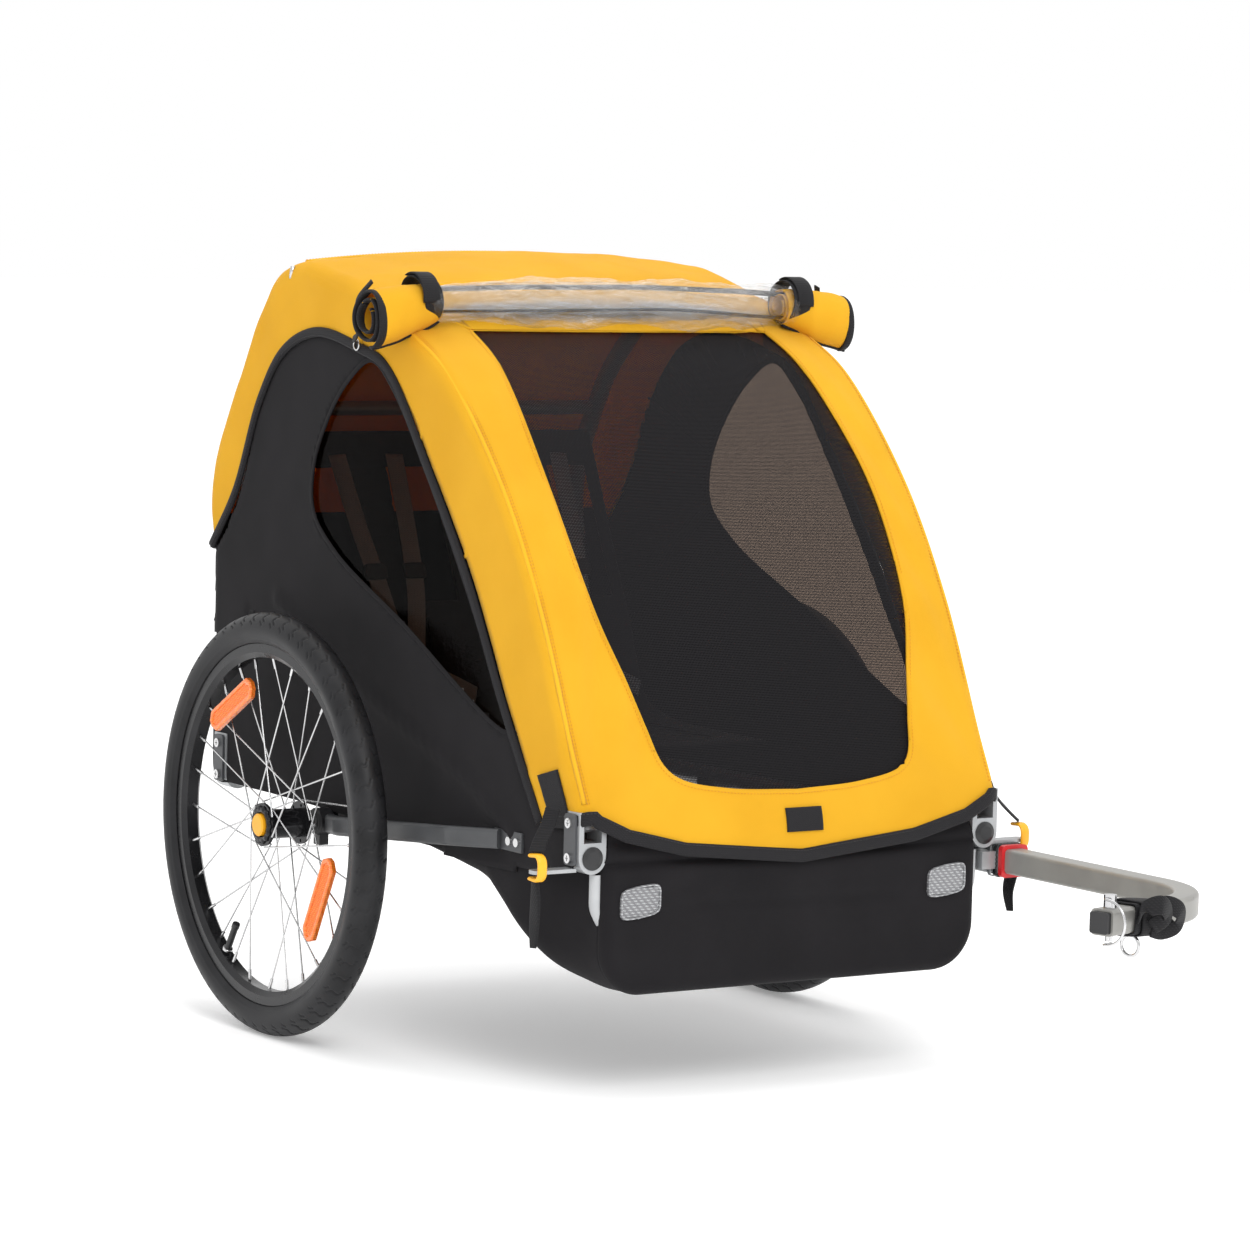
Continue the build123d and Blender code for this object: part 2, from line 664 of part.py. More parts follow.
def seat_sling():
    back_length = ((SEAT_TOP[0] - SEAT_FOLD[0]) ** 2 + (SEAT_TOP[1] - SEAT_FOLD[1]) ** 2) ** 0.5
    back = back_plane() * box(-SEAT_HALF, SEAT_HALF, 0, back_length, -2, 2)
    base = Pos(0, *SEAT_FOLD) * Rot(3, 0, 0) * box(-SEAT_HALF, SEAT_HALF, -255, 0, -2, 2)
    bolster = Pos(0, *SEAT_FOLD) * Rot(0, 90, 0) * Cylinder(4, 2 * SEAT_HALF)
    return back + base + bolster


def harness(x):
    """Two shoulder straps and the crotch strap of one child's harness."""
    low, high = BUCKLE_HEIGHT + 34, 330
    lean = 9.0
    length = (high - low) / cos(radians(lean))
    straps = []
    for side in (-1, 1):
        middle = Pos(side * 34, (low + high) / 2, 8)
        straps.append(back_plane(x) * middle * Rot(0, 0, -side * lean) * Box(24, length, 1.6))
    return straps + [box(x - 12, x + 12, 4, 34, 352, 353.6)]


def buckle(x):
    shell = fillet(box(-21, 21, BUCKLE_HEIGHT - 30, BUCKLE_HEIGHT + 30, 8, 22).edges().filter_by(Axis.Z), 9)
    recess = Pos(0, BUCKLE_HEIGHT, 19) * Cylinder(BUTTON_R, 14)
    return back_plane(x) * (shell - recess)


def buckle_button(x):
    return back_plane(x) * Pos(0, BUCKLE_HEIGHT, 19.5) * Cylinder(BUTTON_R - RUNNING, 7)


def make_seat():
    save("seat_sling", seat_sling())
    save("harness_straps", *harness(SEAT_X), *harness(-SEAT_X))
    save("harness_buckles", buckle(SEAT_X), buckle(-SEAT_X))
    save("left_buckle_button", buckle_button(SEAT_X))
    save("right_buckle_button", buckle_button(-SEAT_X))


# --- tow arm ------------------------------------------------------------------------
ARM_DIR = Vector(-cos(radians(ARM_SKEW)), -sin(radians(ARM_SKEW)), 0)
HITCH_BACK = 14.0  # from the open end of the arm back to the hitch pin
RECEIVER_PIN_Y = -470.0
BAIL_R = 24.0  # from the middle of the arm out to the bail
WIRE_R = 1.5


def square_tube(side, wall, corner):
    inside = side - 2 * wall
    return RectangleRounded(side, side, corner) - RectangleRounded(inside, inside, max(corner - wall, 0.5))


def tow_arm():
    x_end, y_end = ARM_END
    run = (RECEIVER_X - x_end) / cos(radians(ARM_SKEW))
    corner_y = y_end + run * sin(radians(ARM_SKEW))
    points = [(RECEIVER_X, -395, RECEIVER_Z), (RECEIVER_X, corner_y, RECEIVER_Z), (x_end, y_end, RECEIVER_Z)]
    line = FilletPolyline(*points, radius=ARM_BEND)
    start = Plane(origin=line @ 0, x_dir=(1, 0, 0), z_dir=line % 0)
    arm = sweep(start * RectangleRounded(ARM, ARM, 5), path=line)
    arm -= sweep(start * RectangleRounded(ARM - 5, ARM - 5, 2.5), path=line)
    arm -= post(RECEIVER_X, RECEIVER_PIN_Y, 200, 280, PIN_R + RUNNING)
    return arm - post(*hitch_at(), 200, 280, PIN_R + 0.02)


def hitch_at():
    return (ARM_END[0] - ARM_DIR.X * HITCH_BACK, ARM_END[1] - ARM_DIR.Y * HITCH_BACK)


def end_plane():
    """Plane at the open end of the arm, with X out along the arm and Z up."""
    return Plane(origin=(*ARM_END, RECEIVER_Z), x_dir=ARM_DIR, z_dir=(0, 0, 1))


def arm_end_block():
    half = ARM / 2 - 2.6
    block = box(-60, 0, -half, half, -half, half) + box(0, 6, -half, half, -half, half)
    solid = end_plane() * fillet(block.edges().filter_by(Axis.X), 2.8)
    return solid - post(*hitch_at(), 200, 280, PIN_R + 0.02)


def hitch_pin():
    """The pin stands through the arm. Its head has a cross hole for the wire bail."""
    at = hitch_at()
    top = RECEIVER_Z + ARM / 2
    pin = post(*at, RECEIVER_Z - BAIL_R + 3, top + 3, PIN_R) + post(*at, top, RECEIVER_Z + BAIL_R + 4, 7)
    return pin - end_plane() * Pos(-HITCH_BACK, 0, BAIL_R) * Rot(0, 90, 0) * Cylinder(WIRE_R + 0.1, 30)


def hitch_bail():
    """Wire bail: one leg hinges in the pin's head, the arch goes round the front to the leg under the tip."""
    leg, bend = 8.0, 3.0
    side, cut = leg + bend, bend * sin(radians(45))
    parts = [Line((-4, 0, BAIL_R), (leg, 0, BAIL_R))]
    parts.append(ThreePointArc((leg, 0, BAIL_R), (leg + cut, bend - cut, BAIL_R), (side, bend, BAIL_R)))
    parts.append(ThreePointArc((side, bend, BAIL_R), (side, bend + BAIL_R, 0), (side, bend, -BAIL_R)))
    parts.append(ThreePointArc((side, bend, -BAIL_R), (leg + cut, bend - cut, -BAIL_R), (leg, 0, -BAIL_R)))
    parts.append(Line((leg, 0, -BAIL_R), (-4, 0, -BAIL_R)))
    path = Wire(parts)
    wire = sweep(Plane(origin=path @ 0, z_dir=path % 0) * Circle(WIRE_R), path=path)
    return end_plane() * Pos(-HITCH_BACK, 0, 0) * wire


def tow_receiver():
    """Square socket under the tab of the left front casting, with a clamp on the rail."""
    y0, y1 = -545.0, -372.0
    profile = square_tube(RECEIVER, (RECEIVER - ARM) / 2 - 0.3, 6)
    socket = extrude(profile, amount=(y1 - y0) / 2, both=True)
    solid = Pos(RECEIVER_X, (y0 + y1) / 2, RECEIVER_Z) * Rot(90, 0, 0) * socket
    for y in (-541, -452):
        solid += box(262, 284, y, y + 26, 228, 248)
    return solid - post(RECEIVER_X, RECEIVER_PIN_Y, 200, 280, PIN_R + RUNNING)


def receiver_collar():
    ring = RectangleRounded(37, 37, 6) - RectangleRounded(ARM + 0.4, ARM + 0.4, 5.2)
    return Pos(RECEIVER_X, -552, RECEIVER_Z) * Rot(-90, 0, 0) * extrude(ring, amount=6.6)


def receiver_pin():
    pin = post(RECEIVER_X, RECEIVER_PIN_Y, 213, 262, PIN_R)
    knob = post(RECEIVER_X, RECEIVER_PIN_Y, 254.6, 266, 9)
    return pin + fillet(knob.edges().filter_by(GeomType.CIRCLE).group_by(Axis.Z)[-1], 3)


def along_arm(s0, s1, y0, y1, z0, z1):
    """A box placed by its distance back from the open end of the arm."""
    return end_plane() * box(-s1, -s0, y0, y1, z0, z1)


def safety_strap():
    """Webbing loop round the arm, with its free end lying along the arm's front face."""
    outer, inner = ARM / 2 + 2.4, ARM / 2 + 0.4
    band = along_arm(40, 66, -outer, outer, -outer, outer) - along_arm(39, 67, -inner, inner, -inner, inner)
    tail = along_arm(66, 96, inner, outer, -12, 12)
    return band + tail


def strap_ring():
    """A D-ring that hangs below the strap."""
    ring = Torus(11, 2)
    return end_plane() * Pos(-53, 0, -ARM / 2 - 2.6 - 13.2) * Rot(0, 90, 0) * ring


def make_tow_arm():
    save("tow_receiver", tow_receiver())
    save("receiver_collar", receiver_collar())
    save("receiver_pin", receiver_pin())
    save("tow_arm", tow_arm())
    save("arm_end_block", arm_end_block())
    save("hitch_pin", hitch_pin())
    save("hitch_bail", hitch_bail())
    save("safety_strap", safety_strap())
    save("strap_ring", strap_ring())


os.makedirs("parts", exist_ok=True)
make_wheels()
make_base()
make_folding_frame()
make_fabric()
make_roll_and_hooks()
make_seat()
make_tow_arm()
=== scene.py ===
import math

import bmesh
import bpy
import numpy as np
from mathutils import Matrix, Vector, noise


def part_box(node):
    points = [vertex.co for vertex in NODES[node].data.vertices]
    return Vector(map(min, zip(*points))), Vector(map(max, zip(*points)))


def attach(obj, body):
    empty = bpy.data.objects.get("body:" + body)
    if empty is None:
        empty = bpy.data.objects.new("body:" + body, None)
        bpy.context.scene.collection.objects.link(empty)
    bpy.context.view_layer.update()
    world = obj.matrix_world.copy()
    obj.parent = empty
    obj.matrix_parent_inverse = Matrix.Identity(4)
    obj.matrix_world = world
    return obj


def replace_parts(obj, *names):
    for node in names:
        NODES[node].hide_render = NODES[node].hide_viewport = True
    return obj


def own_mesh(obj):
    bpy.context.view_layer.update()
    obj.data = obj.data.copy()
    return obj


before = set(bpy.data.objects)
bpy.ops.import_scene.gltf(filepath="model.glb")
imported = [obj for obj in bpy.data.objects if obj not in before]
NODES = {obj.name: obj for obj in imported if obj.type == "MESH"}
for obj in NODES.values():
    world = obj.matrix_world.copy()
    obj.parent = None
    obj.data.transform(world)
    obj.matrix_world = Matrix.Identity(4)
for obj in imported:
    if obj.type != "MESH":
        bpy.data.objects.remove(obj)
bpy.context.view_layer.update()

# Two-seat child bicycle trailer, in metres. +Z up, nose along -Y, +X is the trailer's left side.

SIDES = ((1, "left"), (-1, "right"))

# --- the covered body's outlines, seen from the side as (Y, Z) ------------------------
OUTLINE = [(-0.552, 0.250), (-0.551, 0.300), (-0.511, 0.388), (-0.444, 0.530), (-0.360, 0.658)]
OUTLINE += [(-0.239, 0.778), (-0.163, 0.818), (-0.054, 0.863), (0.020, 0.883), (0.096, 0.893)]
OUTLINE += [(0.151, 0.876), (0.193, 0.831), (0.254, 0.735), (0.299, 0.647), (0.308, 0.598)]
OUTLINE += [(0.304, 0.556), (0.290, 0.503), (0.287, 0.454), (0.284, 0.262)]
BORDER = [(-0.461, 0.300), (-0.381, 0.419), (-0.303, 0.547), (-0.211, 0.667), (-0.114, 0.777)]
BORDER += [(-0.055, 0.796), (0.048, 0.811), (0.126, 0.785), (0.179, 0.726), (0.235, 0.615), (0.293, 0.545)]
PANEL_FLOOR = [(0.284, 0.330), (0.276, 0.264), (0.230, 0.262), (0.071, 0.260), (-0.162, 0.251)]
PANEL_FLOOR += [(-0.336, 0.238), (-0.440, 0.246), (-0.530, 0.262), (-0.540, 0.300)]
WINDOW = [(-0.392, 0.392), (-0.318, 0.510), (-0.222, 0.643), (-0.130, 0.752), (-0.080, 0.784)]
WINDOW += [(-0.029, 0.760), (0.016, 0.716), (0.050, 0.656), (0.050, 0.605), (0.000, 0.561), (-0.152, 0.493)]
CREASE = [(0.127, 0.492), (0.005, 0.438), (-0.156, 0.379), (-0.290, 0.337), (-0.404, 0.284)]
MESH_EDGE = [(0.202, 0.822), (0.217, 0.658), (0.208, 0.524), (0.189, 0.453), (0.176, 0.403), (0.165, 0.365)]
MESH_EDGE += [(0.148, 0.350), (0.090, 0.338), (0.0, 0.333)]
HINGE_Y = -0.054  # the seam where the front cover opens
REAR_SPLIT_Z = 0.545  # where the yellow back ends and the black one begins
NOSE_FOOT_Z = 0.313  # height of the front cover's lower edge beside its corners
TOP_HALF = 0.263  # half the width between the corners' roundings
CLOTH = 0.0016  # thickness of the fabric
FOLD_DEPTH = 0.0036  # half the height of the slanting folds in the front cover
CORNER_CUT = (80, 60, 40, 20, 5)  # degrees round the cover's front corner, from the front to the side
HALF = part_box("side_panels")[1].x  # outside of the fabric sides
CORNER = 0.016  # rounding where the top of the cover turns down into its sides
ARCH = 0.014  # how far the roof stands above its edges in the middle


# --- curves and meshes ----------------------------------------------------------------
def smooth(points, count, closed=False):
    """Evenly spaced points along a centripetal Catmull-Rom curve through the given ones."""
    p = np.array(points, float)
    p = np.vstack([p[-1], p, p[:2]]) if closed else np.vstack([2 * p[0] - p[1], p, 2 * p[-1] - p[-2]])
    fine = []
    for a, b, c, d in zip(p, p[1:], p[2:], p[3:]):
        t1 = np.linalg.norm(b - a) ** 0.5
        t2 = t1 + np.linalg.norm(c - b) ** 0.5
        t3 = t2 + np.linalg.norm(d - c) ** 0.5
        t = np.linspace(t1, t2, 24, endpoint=False)[:, None]
        a1 = (t1 - t) / t1 * a + t / t1 * b
        a2 = (t2 - t) / (t2 - t1) * b + (t - t1) / (t2 - t1) * c
        a3 = (t3 - t) / (t3 - t2) * c + (t - t2) / (t3 - t2) * d
        b1 = (t2 - t) / t2 * a1 + t / t2 * a2
        b2 = (t3 - t) / (t3 - t1) * a2 + (t - t1) / (t3 - t1) * a3
        fine.append((t2 - t) / (t2 - t1) * b1 + (t - t1) / (t2 - t1) * b2)
    fine.append(p[-2][None])
    return even(np.vstack(fine), count)


def ramp(distance, length):
    """0 up to a start, then rising to 1 over a length."""
    return np.clip(distance / length, 0, 1)


def round_angles(count):
    """Evenly spaced angles, once round a circle."""
    return np.linspace(0, 2 * math.pi, count, endpoint=False)


def unit(vectors):
    """The same rows, each one made a unit long."""
    return vectors / np.linalg.norm(vectors, axis=1)[:, None]


def even(points, count):
    """count evenly spaced points along a polyline."""
    points = np.array(points, float)
    steps = np.linalg.norm(np.diff(points, axis=0), axis=1)
    along = np.concatenate([[0], np.cumsum(steps)])
    want = np.linspace(0, along[-1], count)
    return np.stack([np.interp(want, along, points[:, k]) for k in range(points.shape[1])], 1)


def mesh_object(name, points, faces, uvs=None):
    data = bpy.data.meshes.new(name)
    data.from_pydata([tuple(map(float, p)) for p in points], [], faces)
    if uvs is not None:
        layer = data.uv_layers.new(name="cloth")
        corner = np.array([loop.vertex_index for loop in data.loops])
        layer.data.foreach_set("uv", np.asarray(uvs, np.float32)[corner].ravel())
    data.update()
    obj = bpy.data.objects.new(name, data)
    bpy.context.scene.collection.objects.link(obj)
    data.polygons.foreach_set("use_smooth", [True] * len(data.polygons))
    return obj


def grid_faces(rows, cols, wrap_rows=False, wrap_cols=False):
    faces = []
    for i in range(rows if wrap_rows else rows - 1):
        for j in range(cols if wrap_cols else cols - 1):
            k, m = (i + 1) % rows, (j + 1) % cols
            faces.append((i * cols + j, i * cols + m, k * cols + m, k * cols + j))
    return faces


def sheet(name, rows, wrap_rows=False, wrap_cols=False):
    """A sheet of quads from rows of points, with UVs in metres along and across the cloth."""
    rows = np.array(rows, float)
    n, m = rows.shape[:2]
    across = np.zeros((n, m))
    across[:, 1:] = np.cumsum(np.linalg.norm(np.diff(rows, axis=1), axis=2), axis=1)
    along = np.zeros((n, m))
    along[1:] = np.cumsum(np.linalg.norm(np.diff(rows, axis=0), axis=2), axis=0)
    uvs = np.stack([across, along], 2).reshape(-1, 2)
    return mesh_object(name, rows.reshape(-1, 3), grid_faces(n, m, wrap_rows, wrap_cols), uvs)


def frames(points, up):
    """Unit tangent, side and up vectors at each point of a path, with up kept near the given one."""
    t = unit(np.gradient(points, axis=0))
    ups = np.broadcast_to(np.array(up, float), points.shape).copy()
    side = np.cross(t, ups)
    length = np.linalg.norm(side, axis=1)[:, None]
    side = np.where(length > 1e-4, side / np.maximum(length, 1e-9), [[0.0, 0.0, 1.0]])
    return t, side, np.cross(side, t)


def sweep(name, points, profile, up=(0, 0, 1), closed=False):
    """A closed profile of (side, up) points carried along a path."""
    points = np.array(points, float)
    if closed:
        wrapped = np.vstack([points[-1], points, points[0]])
        wrapped_up = up if np.ndim(up) == 1 else np.vstack([up[-1], up, up[0]])
        _, side, ups = [a[1:-1] for a in frames(wrapped, wrapped_up)]
    else:
        _, side, ups = frames(points, up)
    rings = np.array([[p + a * s + b * u for a, b in profile] for p, s, u in zip(points, side, ups)])
    n, m = rings.shape[:2]
    faces = grid_faces(n, m, closed, True)
    if not closed:
        faces += [tuple(range(m))[::-1], tuple((n - 1) * m + j for j in range(m))]
    obj = mesh_object(name, rings.reshape(-1, 3), faces)
    recalculate(obj)
    return obj


def edit_mesh(obj, change):
    """Lets change(b) work on a piece's mesh in edit form."""
    b = bmesh.new()
    b.from_mesh(obj.data)
    b.faces.ensure_lookup_table()
    change(b)
    b.to_mesh(obj.data)
    b.free()
    return obj


def recalculate(obj):
    """Turns all faces of a piece outward."""
    return edit_mesh(obj, lambda b: bmesh.ops.recalc_face_normals(b, faces=b.faces))


def circle(radius, sides=10):
    return [(radius * math.cos(2 * math.pi * k / sides), radius * math.sin(2 * math.pi * k / sides))
            for k in range(sides)]


def flat(width, thick):
    """Section of a webbing: flat, with rounded edges."""
    w, t = width / 2, thick / 2
    return [(-w, -t * 0.4), (-w + t, -t), (w - t, -t), (w, -t * 0.4), (w, t * 0.4), (w - t, t), (-w + t, t),
            (-w, t * 0.4)]


def join(name, objects):
    """Joins meshes, keeping each one's materials."""
    bpy.ops.object.select_all(action="DESELECT")
    for o in objects:
        o.select_set(True)
    bpy.context.view_layer.objects.active = objects[0]
    bpy.ops.object.join()
    whole = bpy.context.view_layer.objects.active
    whole.name = name
    whole.data.name = name
    whole.select_set(False)
    return whole


def modifier(obj, kind, **values):
    m = obj.modifiers.new(kind.lower(), kind)
    for key, value in values.items():
        setattr(m, key, value)
    return m


def thicken(obj, depth, offset=-1.0):
    modifier(obj, "SOLIDIFY", thickness=depth, offset=offset, use_even_offset=False)
    return obj


def bevel(obj, width, segments=2, angle=35):
    modifier(obj, "BEVEL", width=width, segments=segments, limit_method="ANGLE",
             angle_limit=math.radians(angle))
    return obj


def wave(p, scale, seed=0.0):
    """Smooth repeatable noise between about -1 and 1."""
    return noise.noise(Vector((p[0] * scale + seed, p[1] * scale - seed, p[2] * scale + 2 * seed)))


def closest_on(poly, q):
    """Nearest point to each q on a closed 2-D polyline."""
    a, b = poly, np.roll(poly, -1, axis=0)
    d = b - a
    best, where = np.full(len(q), 1e9), np.zeros_like(q)
    for start, step in zip(a, d):
        t = np.clip(((q - start) @ step) / max(step @ step, 1e-12), 0, 1)
        near = start + t[:, None] * step
        gap = np.linalg.norm(q - near, axis=1)
        closer = gap < best
        best[closer], where[closer] = gap[closer], near[closer]
    return where, best


def inside(poly, q):
    """True where a 2-D point lies in a closed polyline."""
    hit = np.zeros(len(q), bool)
    for (x0, y0), (x1, y1) in zip(poly, np.roll(poly, -1, axis=0)):
        if y0 == y1:
            continue
        cross = (y0 > q[:, 1]) != (y1 > q[:, 1])
        hit ^= cross & (q[:, 0] < (x1 - x0) * (q[:, 1] - y0) / (y1 - y0) + x0)
    return hit


def cut(obj, poly, axes, keep_inside, place_point):
    """Deletes the faces in (or outside) an outline, and pulls the new edge onto it.
    axes picks the outline's two coordinates; place_point(old, q) gives the new place
    of a vertex on the cut, from its old one and the outline's nearest point q."""
    data = obj.data
    spots = np.array([v.co for v in data.vertices])
    centre = np.array([np.mean(spots[list(f.vertices)], axis=0) for f in data.polygons])
    gone = inside(poly, centre[:, axes]) != keep_inside

    def trim(b):
        old_edge = {v.index for e in b.edges if e.is_boundary for v in e.verts}
        bmesh.ops.delete(b, geom=[b.faces[i] for i in np.nonzero(gone)[0]], context="FACES")
        edge = [v for v in b.verts if any(e.is_boundary for e in v.link_edges) and v.index not in old_edge]
        if edge:
            target, _ = closest_on(poly, np.array([v.co for v in edge])[:, axes])
            for v, q in zip(edge, target):
                v.co = place_point(v.co, q)

    return edit_mesh(obj, trim)


def soft(obj, body="base"):
    """Lets a piece ride on a body, and gives it a mesh of its own."""
    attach(obj, body)
    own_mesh(obj)
    return obj


# --- materials ------------------------------------------------------------------------
class Shader:
    """A material built node by node. Inputs are numbers, colours or the outputs of other nodes."""

    def __init__(self, name):
        self.material = bpy.data.materials.new(name)
        self.material.use_nodes = True
        self.tree = self.material.node_tree
        self.surface = self.tree.nodes["Principled BSDF"]
        self.out = self.tree.nodes["Material Output"]

    def node(self, kind, inputs=None, **settings):
        made = self.tree.nodes.new("ShaderNode" + kind)
        for key, value in settings.items():
            setattr(made, key, value)
        self.feed(made, inputs or {})
        return made

    def feed(self, node, inputs):
        for key, value in inputs.items():
            if isinstance(value, bpy.types.NodeSocket):
                self.tree.links.new(value, node.inputs[key])
            else:
                node.inputs[key].default_value = value

    def math(self, operation, a, b=0.0):
        return self.node("Math", {0: a, 1: b}, operation=operation).outputs[0]

    def ramp(self, value, low, high, out_low=0.0, out_high=1.0):
        made = self.node("MapRange", {"Value": value, "From Min": low, "From Max": high})
        self.feed(made, {"To Min": out_low, "To Max": out_high})
        return made.outputs["Result"]

    def mix(self, factor, a, b):
        made = self.node("Mix", {"Factor": factor}, data_type="RGBA")
        self.feed(made, {6: a, 7: b})
        return made.outputs[2]

    def cloth_place(self):
        return self.node("UVMap", uv_map="cloth").outputs["UV"]

    def object_place(self):
        return self.node("TexCoord").outputs["Object"]

    def noise(self, place, scale, detail=3.0, rough=0.5):
        made = self.node("TexNoise", {"Vector": place, "Scale": scale, "Detail": detail, "Roughness": rough})
        return made.outputs["Fac"]

    def bands(self, place, pitch, direction="X"):
        made = self.node("TexWave", {"Vector": place, "Scale": 0.3142 / pitch}, bands_direction=direction)
        return made.outputs["Fac"]

    def bump(self, height, strength, distance):
        made = self.node("Bump", {"Height": height, "Strength": strength, "Distance": distance})
        return made.outputs["Normal"]

    def finish(self, **inputs):
        self.feed(self.surface, {key.replace("_", " "): value for key, value in inputs.items()})
        return self.material


def rgba(red, green, blue):
    return (red, green, blue, 1.0)


def fabric(name, colour, shade, pitch, uv=True, rough=0.82, glow=None, bump=0.35, sheen=0.15):
    """Woven cloth: two sets of threads with painted shade in their valleys, blotchy colour, and light passing
    through it if glow is a colour.
    """
    s = Shader(name)
    place = s.cloth_place() if uv else s.object_place()
    warp = s.bands(place, pitch, "X")
    weft = s.bands(place, pitch, "Y" if uv else "Z")
    threads = s.math("MULTIPLY", warp, weft)
    blotch = s.noise(s.object_place(), 9.0, 4.0)
    fuzz = s.noise(place, 900.0, 2.0)
    # Painted shade: the shade colour is painted into the weave's valleys between the threads, and the blotch
    # noise adds darker tone at random.
    valley_shade_and_tone = s.math("ADD", s.ramp(threads, 0.0, 1.0, 0.0, 0.35), s.ramp(blotch, 0.35, 0.65, 0.1, 0.5))
    base = s.mix(valley_shade_and_tone, shade, colour)
    height = s.math("ADD", threads, s.math("MULTIPLY", fuzz, 0.5))
    s.finish(Base_Color=base, Roughness=s.ramp(fuzz, 0.3, 0.7, rough - 0.06, rough + 0.08))
    s.finish(Normal=s.bump(height, bump, 0.0005), Sheen_Weight=sheen, Sheen_Roughness=0.5,
             Specular_IOR_Level=0.15)
    if glow:
        through = s.node("BsdfTranslucent", {"Color": glow})
        blend = s.node("MixShader", {0: 0.18, 1: s.surface.outputs[0], 2: through.outputs[0]})
        s.tree.links.new(blend.outputs[0], s.out.inputs["Surface"])
    return s.material


def ribbed(name, colour, shade, pitch=0.0016):
    """Webbing: ribs across its length with a faint chevron, and painted shade between the ribs."""
    s = Shader(name)
    place = s.object_place()
    ribs = s.math("MULTIPLY", s.bands(place, pitch, "DIAGONAL"), s.bands(place, pitch * 1.3, "Z"))
    speck = s.noise(place, 700.0, 2.0)
    # Painted shade: the shade colour is painted into the valleys between the ribs, and the speck noise adds
    # darker tone at random.
    valley_shade_and_tone = s.math("ADD", s.math("MULTIPLY", ribs, 0.6), s.math("MULTIPLY", speck, 0.4))
    s.finish(Base_Color=s.mix(valley_shade_and_tone, shade, colour))
    return s.finish(Roughness=0.7, Normal=s.bump(ribs, 0.5, 0.0006), Sheen_Weight=0.03,
                    Specular_IOR_Level=0.2)


def moulded(name, colour, shade, rough=0.4, grain=0.12, scale=420.0, gloss=0.5):
    """Moulded plastic or rubber with a fine grain and uneven gloss."""
    s = Shader(name)
    place = s.object_place()
    fine = s.noise(place, scale, 3.0)
    broad = s.noise(place, 24.0, 4.0)
    s.finish(Base_Color=s.mix(s.ramp(broad, 0.3, 0.7), shade, colour))
    s.finish(Roughness=s.ramp(broad, 0.3, 0.7, rough - 0.07, rough + 0.08), Specular_IOR_Level=gloss)
    return s.finish(Normal=s.bump(fine, grain, 0.0004))


def metal(name, colour, shade, rough=0.3, metallic=0.9, streak=0.1):
    """Satin or polished metal with faint drawing marks along it and smudges."""
    s = Shader(name)
    place = s.object_place()
    stretch = s.node("Mapping", {"Vector": place, "Scale": (900.0, 30.0, 900.0)}).outputs["Vector"]
    marks = s.noise(stretch, 1.0, 3.0)
    smudge = s.noise(place, 16.0, 4.0)
    s.finish(Base_Color=s.mix(s.ramp(smudge, 0.3, 0.7), shade, colour), Metallic=metallic)
    s.finish(Roughness=s.ramp(smudge, 0.3, 0.7, rough - 0.06, rough + 0.08))
    return s.finish(Normal=s.bump(marks, streak, 0.0003))


def net(name, colour, pitch, open_share):
    """Knitted mesh: dark threads with see-through holes."""
    s = Shader(name)
    place = s.cloth_place()
    holes = s.math("MULTIPLY", s.bands(place, pitch, "X"), s.bands(place, pitch, "Y"))
    fibre = s.noise(place, 1500.0, 2.0)
    s.finish(Base_Color=s.mix(fibre, colour, tuple(c * 1.8 for c in colour[:3]) + (1.0,)), Roughness=0.7)
    s.finish(Specular_IOR_Level=0.1)
    clear = s.node("BsdfTransparent")
    see = s.math("LESS_THAN", s.math("SUBTRACT", 1.0, holes), open_share)
    blend = s.node("MixShader", {0: see, 1: s.surface.outputs[0], 2: clear.outputs[0]})
    s.tree.links.new(blend.outputs[0], s.out.inputs["Surface"])
    return s.material


def film(name, tint, gloss_rough=0.06, haze=0.05, crumple=0.0, shine=0.04, glance=0.85):
    """Thin plastic sheet: it lets light through, tinted, and mirrors at a glancing angle."""
    s = Shader(name)
    place = s.object_place()
    ripple = s.noise(place, 55.0, 5.0, 0.65)
    normal = s.bump(ripple, 0.15 + crumple, 0.004)
    clear = s.node("BsdfTransparent", {"Color": tint})
    gloss = s.node("BsdfGlossy", {"Color": rgba(1, 1, 1), "Roughness": gloss_rough, "Normal": normal})
    milk = s.node("BsdfDiffuse", {"Color": rgba(0.8, 0.8, 0.8), "Normal": normal})
    facing = s.node("LayerWeight", {"Blend": 0.5, "Normal": normal}).outputs["Facing"]
    edge = s.ramp(s.math("POWER", facing, 4.5), 0.0, 1.0, shine, glance)
    body = s.node("MixShader", {0: haze, 1: clear.outputs[0], 2: milk.outputs[0]})
    whole = s.node("MixShader", {0: edge, 1: body.outputs[0], 2: gloss.outputs[0]})
    s.tree.links.new(whole.outputs[0], s.out.inputs["Surface"])
    return s.material


def prism_plastic(name, colour, shade, pitch):
    """Reflector plastic: small bright cells under a clear coat."""
    s = Shader(name)
    place = s.object_place()
    cells = s.math("MULTIPLY", s.bands(place, pitch, "DIAGONAL"), s.bands(place, pitch * 0.8, "Z"))
    s.finish(Base_Color=s.mix(cells, shade, colour), Roughness=0.18, Coat_Weight=0.6)
    return s.finish(Normal=s.bump(cells, 0.5, 0.0008), Metallic=0.25)


